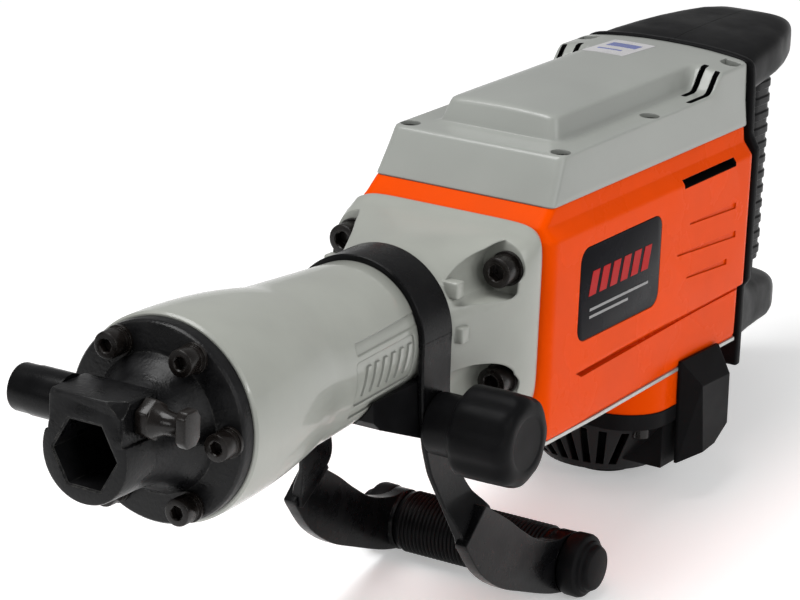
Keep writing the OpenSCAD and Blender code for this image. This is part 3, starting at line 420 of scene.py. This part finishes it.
cuts.append(prism("crease", [(345, -41.2), (544, -38.6), (544, -42.6), (352, -44.6)], "x", 55.0, 70))
cuts += [groove(466, 521, 12.4, 10.6, 3.4, 0.9), groove(453, 523, -2.6, -6.2, 3.6, 0.9),
         groove(466, 514, -18.0, -20.2, 3.2, 0.9)]
badge_seat = prism("bd", [(p[1], p[0]) for p in rrect(25.5, 344, 433, 8)], "x", 58.8, 70)
badge_seat.data.transform(Matrix.Translation((0, 0, 0.5 * MM)))
cuts.append(badge_seat)
for c in list(cuts):
    cuts.append(mirrored(c, "m"))
boolean(shell, cuts)
boolean(shell, [cylinder("bore", "y", (0, 0, 0), MECHANISM_R, 300, 356, 96),
                box("hollow", -50, 50, 354, 530, -62, 44)])
place(shell, "housing", "orange_shell", "body_housing", angle=30)

# ---------------------------------------------------------------- top cover
def ramp(y):
    t = min(1, max(0, (y - 498.5) / 13.5))
    return t * t * (3 - 2 * t)

def rim(y):
    return 75.5 + 11.2 * ramp(y)

def arch(x):
    """crowned surface of the raised rear end"""
    return 90.4 - 3.8 * (abs(x) / 50) ** 2.2

def cover_ring(hw, y0, y1, r, low, drop=0.0, crown=0.0, level=False):
    pts = [((hw - r) * f, y0) for f in (0, 0.3, 0.6, 0.85)]
    pts += [(hw - r + r * cos(math.radians(a)), y0 + r + r * sin(math.radians(a))) for a in range(-90, 1, 15)]
    pts += [(hw, y) for y in (374, 400, 440, 478, 490, 495, 498, 500.5, 503, 505.5, 508, 510.5, 513, 518)]
    pts += [(hw - r + r * cos(math.radians(a)), y1 - r + r * sin(math.radians(a))) for a in range(0, 91, 15)]
    pts += [((hw - r) * f, y1) for f in (0.85, 0.6, 0.3, 0)]
    def height(x, y):
        front = low + crown * (1 - (x / hw) ** 2)
        return front if level else front + (arch(x) - drop - front) * ramp(y)
    return [(x, y, height(x, y)) for x, y in pts] + [(-x, y, height(x, y)) for x, y in pts[-2:0:-1]]

# half width, front, rear, corner radius, height, drop below the raised end, crown, level all along
COVER_RINGS = (
    (53.2, 322.0, 543.2, 4.5, 51.3, 0, 0, True), (53.4, 321.7, 543.2, 4.5, 52.0, 0, 0, True),
    (53.1, 323.2, 543.2, 4.6, 54.6, 0, 0, True), (51.9, 329.6, 543.2, 4.8, 66, 0, 0, True),
    (51.2, 333.4, 543.2, 5, 73.6, 2.2), (51.0, 334.2, 543.1, 5, 74.8, 0.9),
    (50.4, 335.2, 542.4, 5, 75.4, 0.2), (49.2, 336.6, 541.2, 5, 75.6), (44, 342, 538, 6, 75.7),
    (38.4, 349, 535, 6, 75.8), (36.8, 351.6, 534, 6, 76.0), (35.6, 353.8, 533, 6, 77.0),
    (34.9, 354.8, 533, 6, 78.8), (32.7, 357.4, 532, 6, 86.6, 0, 0.6), (32.1, 358.2, 531, 6, 87.9, 0, 1.0),
    (31.0, 359.6, 530, 6, 88.7, 0, 1.2), (28.6, 361.8, 529, 6, 89.2, 0, 1.1),
    (20, 365.5, 523, 4, 90.0, 0, 0.4), (10, 369, 521, 2, 90.4), (3.0, 372, 519.6, 1, 90.5))
cover = loft("top_shell", [cover_ring(*q) for q in COVER_RINGS])
cuts = []
for y in COVER_SCREW_Y:
    cuts.append(cylinder("s", "z", (COVER_SCREW_X, y, 0), 5.3, rim(y) - 5.0, rim(y) + 9, 40))
    if y == COVER_SCREW_Y[-1]:
        cuts.append(box("s2", 39.7, 50.1, y, 536, rim(y) - 3.2, rim(y) + 9))
vents = ((37.6, 40.7, [(488, 71), (488, 79), (501, 79), (510, 93), (515, 93), (515, 83), (505.6, 71)]),
         (46.3, 49.3, [(477, 71), (477, 79), (499.5, 79), (506.5, 93), (511.5, 93), (511.5, 83), (504, 71)]))
for x0, x1, outline in vents:
    cuts.append(bevel(prism("h", outline, "x", x0, x1), 1.2, 3, 10))
for c in list(cuts):
    cuts.append(mirrored(c, "m"))
boolean(cover, cuts)
place(cover, "housing", "grey_plastic", "top_cover", angle=32)

def paint_opening_shade(ob, inside):
    """paints the walls of an opening black as painted shade, because they look into the dark inside"""
    ob.data.materials.append(MATERIALS["black_plastic"])
    for q in ob.data.polygons:
        if all(inside(*(c / MM for c in ob.data.vertices[i].co)) for i in q.vertices):
            q.material_index = 1

# painted shade: the walls of the cover's vent slots are drawn in black plastic
paint_opening_shade(cover, lambda x, y, z: 476 < y < 516 and (37.55 < abs(x) < 40.75 or 46.25 < abs(x) < 49.35))

def in_shell_opening(x, y, z):
    in_vent = 456.9 < y < 518.1 and 33.7 < z < 38.5
    in_hollow = abs(x) < 50.1 and 353 < y < 531 and -63 < z < 45
    return in_vent or in_hollow

# painted shade: the walls of the shell's vent slot and hollow are drawn in black plastic
paint_opening_shade(shell, in_shell_opening)

def label_patch(name, x0, x1, y0, y1, lift, material):
    a, n = math.radians(-5), 8              # the label's turn, and its number of cells each way
    grid = [(x0 + (x1 - x0) * i / n, y0 + (y1 - y0) * j / n) for j in range(n + 1) for i in range(n + 1)]
    grid = [(-14 + x * cos(a) - y * sin(a), 511 + x * sin(a) + y * cos(a)) for x, y in grid]
    top = [(x, y, arch(x) + lift) for x, y in grid]
    low = [(x, y, arch(x) + lift - 0.35) for x, y in grid]
    m, k = n + 1, (n + 1) ** 2
    faces = [(j * m + i, j * m + i + 1, j * m + m + i + 1, j * m + m + i) for j in range(n) for i in range(n)]
    edge = list(range(m)) + [j * m + n for j in range(1, m)]
    edge += [n * m + i for i in range(n - 1, -1, -1)] + [j * m for j in range(n - 1, 0, -1)]
    sides = [(a, b, b + k, a + k) for a, b in zip(edge, edge[1:] + edge[:1])]
    patch = make(name, top + low, faces + [tuple(v + k for v in f[::-1]) for f in faces] + sides)
    return place(patch, "housing", "grey_plastic", angle=40, material=material)

label_patch("label_sheet", -13.5, 13.5, -16.5, 16.5, 0.22, "label_paper")
label_patch("label_band", -9.5, 9.5, 1.5, 9.5, 0.32, "label_blue")
label_patch("label_line", -9.5, 6.0, -7.5, -5.5, 0.32, "label_blue")

# ---------------------------------------------------------------- side badges
badge = prism("badge", [(p[1], p[0] + 0.5) for p in rrect(25.1, 344.4, 432.6, 7.5)], "x", 58.7, 59.55)
badge = bevel(badge, 0.25, 2, 40)
place(join([badge, mirrored(badge, "m")], "badge_plates"), "housing", "badge_black", "side_badges", angle=30)
stripes = []
for k in range(6):
    y = 354 + 11.4 * k
    outline = [(y, -1.5), (y + 7.6, -1.5), (y + 11.2, 11.5), (y + 3.6, 11.5)]
    stripes.append(prism("st", outline, "x", 59.45, 59.72))
place(join(stripes + [mirrored(o, "m") for o in stripes], "badge_stripes"), "housing", "badge_black", angle=30,
      material="badge_red")
lines = [prism("ln", [(y0, z), (y1, z), (y1, z + 1.5), (y0, z + 1.5)], "x", 59.45, 59.7)
         for y0, y1, z in ((356, 420, -10), (356, 398, -14))]
place(join(lines + [mirrored(o, "m") for o in lines], "badge_lines"), "housing", "badge_black", angle=30,
      material="badge_pale")

# ---------------------------------------------------------------- nose, stop lever and bolts
# radius, y
NOSE_PROFILE = (
    (0, 0), (22.4, 0), (23.3, 0.4), (23.7, 1.4), (23.8, 22), (24.1, 28), (24.9, 34), (26.4, 40), (28.6, 45),
    (31.2, 49.2), (32.6, 51.8), (33.1, 53.2), (33.6, 54.0), (34.8, 54.25), (46.2, 54.25), (47.6, 54.6),
    (48.4, 55.6), (48.6, 56.8), (48.6, 62.4), (0, 62.4))
nose = revolve("nose", NOSE_PROFILE, n=128)
for x0, x1 in ((20.2, 40), (-40, -20.2)):
    cut = box("ledge", x0, x1, -2, 26.4, 7.4, 40)
    boolean(nose, bevel(cut, 0.4, 2))
block = box("blk", -20.3, 20.3, 0.05, 27.5, -8, 27.5)
block = bevel(block, 1.3, 3)
cone_cut = revolve("cc", [(0, -5), (24.5, -5), (29.8, 0), (36, 7), (60, 14), (60, 60), (0, 60)],
                   at=(-2.6, 0, 0), n=96)
boolean(block, cone_cut, "INTERSECT")
boolean(nose, block, "UNION")

def hexagon(corner):
    return [(corner * cos(pi / 3 * k), corner * sin(pi / 3 * k)) for k in range(6)]

sock = prism("sock", hexagon(SOCKET_CORNER), "y", -3, 70)
lead = prism("lead", hexagon(18.6), "y", -3, 0.6)
pin_hole = cylinder("ph", "x", LEVER_AXIS, 7.56, -30, 30)
seat = cylinder("seat", "x", LEVER_AXIS, 11.8, -30, -20.3)
nose_screw_places = hexagon(NOSE_SCREW_CIRCLE)
holes = [cylinder("bh", "y", (x, 0, z), 4.3, 50, 70, 24) for x, z in nose_screw_places]
boolean(nose, [sock, lead, pin_hole, seat] + holes)
place(nose, "housing", "black_oxide_steel", "front_cover", angle=34)

def bolt(name, r, h, key, shank, length, at):
    """socket screw with a knurled head, face towards -Y"""
    def ring(rad, y, knurl=0.0, n=96):
        radii = [rad - (knurl if k % 2 else 0) for k in range(n)]
        return [(q * cos(2 * pi * k / n), y, q * sin(2 * pi * k / n)) for k, q in enumerate(radii)]
    b = loft(name, [ring(r * 0.45, 0), ring(r - 0.9, 0), ring(r - 0.25, 0.25), ring(r, 0.9, 0.16),
                    ring(r, h - 0.6, 0.16), ring(r - 0.4, h), ring(shank, h), ring(shank, h + length)])
    corner, turns = key / 2 / cos(pi / 6), [pi / 3 * i + 0.4 * at[0] for i in range(6)]
    k = prism("k", [(corner * cos(t), corner * sin(t)) for t in turns], "y", -1, h * 0.55)
    c = revolve("c", [(0, -1), (key / 2 + 1.6, -1), (key / 2 + 0.2, 0.5), (0, 0.5)])
    boolean(b, [k, c])
    b.data.transform(Matrix.Translation(Vector(at) * MM))
    return b

nose_screws = [bolt("nb", 6.65, 8, 6, 4, 28, (x, 42.7, z)) for x, z in nose_screw_places]
place(join(nose_screws, "nose_screws"), "housing", "bolt_steel", "nose_bolts", angle=30)
flange_screws = [bolt("fb", 8, 10, 8, 4.9, 30, (x, 280.7, z))
                 for x in (FLANGE_BOLT_X, -FLANGE_BOLT_X) for z in FLANGE_BOLT_Z]
place(join(flange_screws, "flange_screws"), "housing", "bolt_steel", "barrel_bolts", angle=30)

# radius, x
LEVER_CAP_PROFILE = (
    (0, -48.5), (10.2, -48.5), (11.0, -48.1), (11.3, -47.2), (11.35, -40), (11.7, -38), (11.7, -20.35),
    (9.2, -20.35), (9.2, -46.5), (0, -46.5))
cap = revolve("cap", LEVER_CAP_PROFILE, "x", LEVER_AXIS, 96)
place(cap, "housing", "black_paint", "lever_cap", angle=40)
pin = revolve("pin", [(0, -43.5), (5.8, -43.5), (5.8, -43.1), (5.8, -41.5), (7.5, -41.5), (7.5, 20.7)], "x",
              LEVER_AXIS, 64)
rim_points = [(20.7, LEVER_Y + 7.5 * cos(2 * pi * k / 64), LEVER_Z + 7.5 * sin(2 * pi * k / 64))
              for k in range(64)]
pin = join([pin, make("pin_end", rim_points, [tuple(range(64))])], "pin")
weld(pin.data, 1e-6)
boolean(pin, box("flat", -26.6, 18.3, 5, 30, 0, 15.5))
hexa = bevel(prism("hexa", [(LEVER_Y + 9.9 * cos(pi / 3 * k + pi / 6), LEVER_Z + 9.9 * sin(pi / 3 * k + pi / 6))
                            for k in range(6)], "x", 20.65, 27.2), 0.9, 2)
waist = revolve("waist", [(0, 26.5), (8.4, 26.5), (7.6, 28.2), (6.3, 30.2), (5.5, 33), (5.2, 37), (5.3, 40),
                          (6.0, 41.8), (0, 42.2)], "x", LEVER_AXIS, 48)
TEE_OUTLINE = ((-3.6, -8.7), (3.2, -8.7), (6.2, -5.2), (6.2, 4.6), (3.4, 8.6), (-4.0, 8.6), (-6.2, 5.8),
               (-6.2, -5.6))
tee = prism("tee", [(LEVER_Y + a, LEVER_Z + b) for a, b in TEE_OUTLINE], "x", 40.8, 46.5)
tee = bevel(tee, 0.9, 3, 25)
place(join([pin, hexa, waist, tee], "retaining_pin"), "lever", "bolt_steel", "stop_lever", angle=34)

# coil spring of the stop lever, which in the tool shortens as the lever is pulled; here it is drawn at one
# fixed length
COIL_START, COIL_LENGTH, COIL_R, WIRE_R = -21.3, 19.4, 8.3, 0.75
TURNS, STEPS_PER_TURN = 7, 24
path = bpy.data.curves.new("lever_coil", "CURVE")
path.dimensions = "3D"
spline = path.splines.new("POLY")
steps = TURNS * STEPS_PER_TURN
spline.points.add(steps)
for i in range(steps + 1):
    a = 2 * pi * i / STEPS_PER_TURN
    spline.points[i].co = ((COIL_START - COIL_LENGTH * i / steps) * MM, (LEVER_Y + COIL_R * cos(a)) * MM,
                           (LEVER_Z + COIL_R * sin(a)) * MM, 1)
path.bevel_depth, path.bevel_resolution = WIRE_R * MM, 3
tmp = bpy.data.objects.new("tmp_coil", path)
scene.collection.objects.link(tmp)
dg = bpy.context.evaluated_depsgraph_get()
dg.update()
coil_me = bpy.data.meshes.new_from_object(tmp.evaluated_get(dg))
bpy.data.objects.remove(tmp)
coil = bpy.data.objects.new("lever_coil", coil_me)
scene.collection.objects.link(coil)
place(coil, "housing", "bright_steel", "lever_spring")
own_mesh(coil)

# ---------------------------------------------------------------- rear handle
def section(hw, zb, zt, y, p=4.2, n=64):
    """superellipse of exponent p, between the heights zb and zt"""
    ring = []
    zc, h = (zb + zt) / 2, (zt - zb) / 2
    for i in range(n):
        a = 2 * pi * (i + 0.5) / n
        c, q = cos(a), sin(a)
        ring.append((hw * math.copysign(abs(c) ** (2 / p), c), y, zc + h * math.copysign(abs(q) ** (2 / p), q)))
    return ring

# half width, lowest, highest, y and, where it is rounder, exponent
TOP_LEG_RINGS = (
    (50.5, 62, 89.4, 543), (50.2, 62, 90.2, 549), (48, 62.4, 91.2, 562), (45, 63, 91.8, 582),
    (41.5, 63.4, 92, 602), (36.8, 63.6, 92, 620), (32, 63.8, 91.8, 634), (27.6, 63.4, 90.6, 645),
    (23.5, 62.8, 88, 652.5, 3.6), (18.5, 62.4, 84, 657.2, 3.2), (10, 65, 79, 659.3, 2.6))
top_leg = loft("top_leg", [section(*q) for q in TOP_LEG_RINGS])
# as for the top leg
LOW_LEG_RINGS = (
    (50.5, -90, -41, 543.5), (50, -89.5, -43, 549), (46.5, -89, -47, 562), (41, -89.4, -51.5, 582),
    (36.4, -90.4, -56, 602), (32.4, -91.6, -60, 622), (28.8, -93, -63, 640), (25.6, -93.6, -65, 650, 3.8),
    (20, -93, -67.5, 656.5, 3.2), (10, -89, -72, 660, 2.6))
low_leg = loft("low_leg", [section(*q) for q in LOW_LEG_RINGS])
strip = [(0, 91.4), (20, 91.0), (32, 90.1), (40, 89.2), (46, 88.1), (50, 86.8), (52.4, 84.2), (53.4, 79),
         (54.6, 45), (58.9, 37.4), (58.9, -39), (55.8, -43), (55.8, -90), (0, -90)]
flange = prism("flange", strip + [(-x, z) for x, z in strip[-2:0:-1]], "y", 543.3, 548.8)
flange = bevel(flange, 1.4, 3, 12)

def stadium_outline(r, half_depth, n):
    """rounded slot, 2 r wide, round the middle of the rear grip"""
    arc = [(r * cos(pi * k / n), r * sin(pi * k / n)) for k in range(n + 1)]
    rear = [(x, GRIP_Y + half_depth - r + y) for x, y in arc]
    front = [(-x, GRIP_Y - half_depth + r - y) for x, y in arc]
    return rear + front

def stadium(r, half_depth, z0, z1):
    return prism("stad", stadium_outline(r, half_depth, 16), "z", z0, z1)

core = stadium(12.5, 17, -75, 76)
right = top_leg
boolean(right, [low_leg, flange, core], "UNION")
cuts = [box("sw", -9.5, 9.5, 628, 652, -20, 42), box("sl", -6.2, 6.2, 608, 630, -8, 38)]
cuts.append(cylinder("gl", "z", (0, 628, 0), 8.0, -100, -74, 32))
boolean(right, cuts)
left = mirrored(right, "handle_half_left")
boolean(right, box("rh", 0.06, 90, 500, 700, -130, 130), "INTERSECT")
boolean(left, box("lh", -90, -0.06, 500, 700, -130, 130), "INTERSECT")
lcuts = [cylinder("lb", "x", (0, 642, 46), 4.6, -30, 0.2, 32)]
for (y, z) in ((565, 76), (618, 78), (565, -60), (618, -75)):
    lcuts.append(cylinder("sh", "x", (0, y, z), 4.8, -60, -15.4, 32))
boolean(left, lcuts)
right.name = "handle_half_right"
place(right, "housing", "black_plastic", "handle_right", angle=34)
place(left, "housing", "black_plastic", "handle_left", angle=34)

def ribbed(z):
    """height of the sleeve's ribs, every 9.2 mm"""
    u = (z + 56) / 9.2
    f = u - math.floor(u)
    return 0.0 if z < -56 or z > 54 else (0.9 if 0.12 < f < 0.62 else 0.0)

rings = []
z = -58.0
while z <= 56.01:
    g = 0.55 * math.sin(pi * (z + 58) / 114)
    r, hd = 14.5 + ribbed(z) + 0.1, 18.9 + ribbed(z) + g * 0.2
    rings.append([(x, y, z) for x, y in stadium_outline(r, hd, 24)])
    z += 0.92
sleeve = loft("sleeve", rings)
boolean(sleeve, [stadium(12.52, 17.02, -90, 90), box("tr", -8, 8, 615, 631, -14, 46),
                 cylinder("lb", "x", (0, 642, 46), 5.4, -30, -10, 32)])
place(sleeve, "housing", "black_rubber", "grip_sleeve", angle=40)

# ---------------------------------------------------------------- side handle
def smooth_line(pts, n=6):
    """Catmull-Rom curve through pts, with n steps from each to the next"""
    out = []
    for i in range(len(pts) - 1):
        p0, p1, p2, p3 = pts[max(0, i - 1)], pts[i], pts[i + 1], pts[min(len(pts) - 1, i + 2)]
        for k in range(n):
            t = k / n
            out.append(tuple(0.5 * (2 * b + (c - a) * t + (2 * a - 5 * b + 4 * c - d) * t * t
                                    + (3 * b - a - 3 * c + d) * t ** 3) for a, b, c, d in zip(p0, p1, p2, p3)))
    return out + [pts[-1]]

ptop = smooth_line([(266, -91.5), (277, -98), (291, -106.5), (306, -117), (324, -127.6), (345, -133.9),
                    (359, -134.4)])
plow = smooth_line([(359, -167.6), (338, -162.5), (308, -151.5), (285, -142), (265, -128.5), (251, -112.5),
                    (248, -108)])
turns = [math.radians(80 - 160 * k / 12) for k in range(13)]
arc = [(BAR_Y + 16.6 * cos(t), BAR_Z + 16.6 * sin(t)) for t in turns]
plate = prism("plate", ptop[:-1] + arc + plow[1:], "x", 48.2, 55.1)
plate = bevel(plate, 1.3, 3, 30)
boss = revolve("boss", [(9, 46.6), (15.6, 46.6), (16.6, 47.4), (16.6, 55.1), (9, 55.1)], "x", BAR_AXIS, 64,
               closed=True)
plates = [plate, mirrored(plate, "pl"), boss, mirrored(boss, "bl")]
place(join(plates, "curved_plates"), "side_handle", "black_paint", "side_plates", angle=34)

band = revolve("band", [(36.92, 223.3), (39.6, 223.3), (40.1, 223.8), (40.1, 249.8), (39.6, 250.3),
                        (36.92, 250.3)], n=160, closed=True)
boolean(band, box("below", -60, 60, 200, 300, -80, 0))

def arm_side(x0, x1):
    """strap from the band down to the side plates, spreading outwards below"""
    front = smooth_line([(223.3, 2), (223.3, -12), (224.4, -28), (228.4, -50), (233.8, -65), (240.5, -80),
                         (246.5, -95), (252.2, -112)], 5)
    rear = smooth_line([(250.3, 2), (250.3, -12), (251.4, -32), (256, -54), (262.5, -70), (268.5, -82),
                        (273, -90), (277.4, -97)], 5)
    rings = []
    m = len(front)
    for i in range(m):
        (ya, za), (yb, zb) = front[i], rear[i]
        zz = (za + zb) / 2
        spread = 0 if zz > -70 else min(9.2, ((-70 - zz) / 30) ** 1.5 * 9.0)
        thicker = 2.6 * min(1, (-88 - zz) / 8) if zz < -88 else 0
        a, b = x0 + spread, x1 + spread + thicker
        ch = 0.7
        rings.append([(a + ch, ya, za), (b - ch, ya, za), (b, ya + ch, za), (b, yb - ch, zb), (b - ch, yb, zb),
                      (a + ch, yb, zb), (a, yb - ch, zb), (a, ya + ch, za)])
    return loft("arm", rings)

arm = arm_side(36.92, 40.1)
boolean(arm, cylinder("bh", "x", CLAMP_AXIS, 4.6, 20, 60, 32))
place(join([band, arm, mirrored(arm, "am")], "clamp_band"), "side_handle", "black_paint", "clamp_strap",
      angle=34)

ribs, half = 35, 46.5
pitch = 2 * (half - 3.5) / ribs
prof = [(9.05, -half), (14.6, -half), (15.9, -half + 1.2), (16.2, -half + 3.2)]
for k in range(ribs):
    x = -half + 3.5 + k * pitch
    prof += [(15.7, x + 0.1), (16.7, x + 0.45), (17.0, x + 0.95), (16.7, x + 1.45), (15.7, x + 1.8)]
prof += [(16.2, half - 3.2), (15.9, half - 1.2), (14.6, half), (9.05, half)]
place(revolve("ribbed_grip", prof, "x", BAR_AXIS, 96, closed=True), "side_handle", "black_rubber", "bar_grip",
      angle=50)
# radius, x
END_CAP_PROFILE = (
    (9.05, 55.3), (15.2, 55.3), (16.6, 56.0), (17.2, 57.4), (17.3, 63.6), (16.7, 65.2), (15.2, 66.0),
    (14.4, 66.3), (14.1, 67.2), (13.9, 67.9), (13.0, 68.4), (12.4, 68.8), (12.2, 70.4), (11.6, 71.4),
    (10.4, 71.9), (0, 72), (0, 66.1), (9.05, 66.1))
end_cap = revolve("end_cap", END_CAP_PROFILE, "x", BAR_AXIS, 96)
place(join([end_cap, mirrored(end_cap, "m")], "bar_end_caps"), "side_handle", "black_plastic", "bar_caps",
      angle=40)

def knob_ring(r, x, lobe):
    ring = []
    for i in range(128):
        a = 2 * pi * i / 128
        rr = r - lobe * (0.5 - 0.5 * cos(8 * a)) ** 1.5
        ring.append((x, CLAMP_Y + rr * cos(a), CLAMP_Z + rr * sin(a)))
    return ring

# radius, x and depth of the lobes
KNOB_RINGS = (
    (4.05, 40.5, 0), (14.6, 40.5, 0), (15.6, 41.2, 0), (15.9, 42.5, 0), (15.9, 57.0, 0), (16.6, 58.2, 0),
    (19.5, 58.6, 0.1), (22.2, 59.1, 0.5), (23.5, 60.3, 0.9), (24.1, 62.2, 1.3), (24.3, 68, 1.6),
    (24.3, 78, 1.7), (24.1, 84.5, 1.6), (23.6, 87.4, 1.4), (22.5, 89.8, 1.0), (20.6, 91.4, 0.6),
    (18.0, 92.2, 0.2), (14.6, 92.5, 0), (13.8, 92.1, 0), (13.0, 92.0, 0), (4, 92.2, 0))
knob = loft("kn", [knob_ring(*q) for q in KNOB_RINGS])
boolean(knob, cylinder("kb", "x", CLAMP_AXIS, 4.05, 30, 62.3, 48))
place(knob, "knob", "black_plastic", "clamp_knob", angle=40)

# ---------------------------------------------------------------- stage, light, camera
FLOOR_WHITE, FLOOR_GLOW, SKY_STRENGTH = 0.93, 0.35, 0.30
FLOOR_REACH = 9000
BAR_CONTACT, TAIL_CONTACT = (359, -168.6), (513.5, -146.3)      # (y, z), just under what it rests on
white = (1, 1, 1, 1)
floor_mat = bpy.data.materials.new("pale_floor")
floor_mat.use_nodes = True
floor_shader = floor_mat.node_tree.nodes["Principled BSDF"]
floor_shader.inputs["Base Color"].default_value = (FLOOR_WHITE, FLOOR_WHITE, FLOOR_WHITE, 1)
floor_shader.inputs["Roughness"].default_value = 0.6
floor_shader.inputs["Emission Color"].default_value = white
floor_shader.inputs["Emission Strength"].default_value = FLOOR_GLOW
slope = (TAIL_CONTACT[1] - BAR_CONTACT[1]) / (TAIL_CONTACT[0] - BAR_CONTACT[0])

def floor_z(y):
    return BAR_CONTACT[1] + (y - BAR_CONTACT[0]) * slope

corners = ((-FLOOR_REACH, -FLOOR_REACH), (FLOOR_REACH, -FLOOR_REACH), (FLOOR_REACH, FLOOR_REACH),
           (-FLOOR_REACH, FLOOR_REACH))
floor = make("floor", [(x, y, floor_z(y)) for x, y in corners], [(0, 1, 2, 3)])
floor.data.materials.append(floor_mat)
world = bpy.data.worlds.new("studio")
scene.world = world
world.use_nodes = True
sky = world.node_tree.nodes["Background"]
sky.inputs[0].default_value = white
sky.inputs[1].default_value = SKY_STRENGTH

def area(name, loc, target, size, power, size_y=None):
    """soft light at loc, in metres, turned to face the target"""
    light = bpy.data.lights.new(name, "AREA")
    light.energy, light.size = power, size
    if size_y:
        light.shape, light.size_y = "RECTANGLE", size_y
    o = bpy.data.objects.new(name, light)
    scene.collection.objects.link(o)
    o.location = loc
    o.rotation_mode = "QUATERNION"
    o.rotation_quaternion = (Vector(target) - Vector(loc)).to_track_quat("-Z", "Y")

area("key", (-0.35, -0.1, 1.5), (0, 0.25, 0), 1.0, 21)
area("right", (1.5, 0.3, 0.75), (0.05, 0.35, 0), 0.7, 5.5, 1.2)
area("glint", (1.17, -0.5, 0.58), (0.03, 0.25, 0), 0.22, 2.6)
area("front", (-0.6, -1.3, 0.5), (0, 0.1, 0), 0.5, 3.0)

CAMERA_AT = (0.88813, -1.20484, 0.54701)
SENSOR_WIDTH, FIELD_OF_VIEW = 36, 12.75682                      # millimetres, degrees across
# degrees, as turns about X, Y and Z from a camera that looks straight down
TILT, ROLL, HEADING = 72.52504, -2.29338, 31.86608
lens = bpy.data.cameras.new("camera")
camera = bpy.data.objects.new("camera", lens)
scene.collection.objects.link(camera)
turn = Euler([math.radians(a) for a in (TILT, ROLL, HEADING)])
camera.matrix_world = Matrix.LocRotScale(Vector(CAMERA_AT), turn, None)
lens.sensor_width = SENSOR_WIDTH
lens.lens = SENSOR_WIDTH / 2 / math.tan(math.radians(FIELD_OF_VIEW) / 2)
lens.clip_start, lens.clip_end = 0.05, 60
scene.camera = camera
scene.view_settings.view_transform = "Standard"
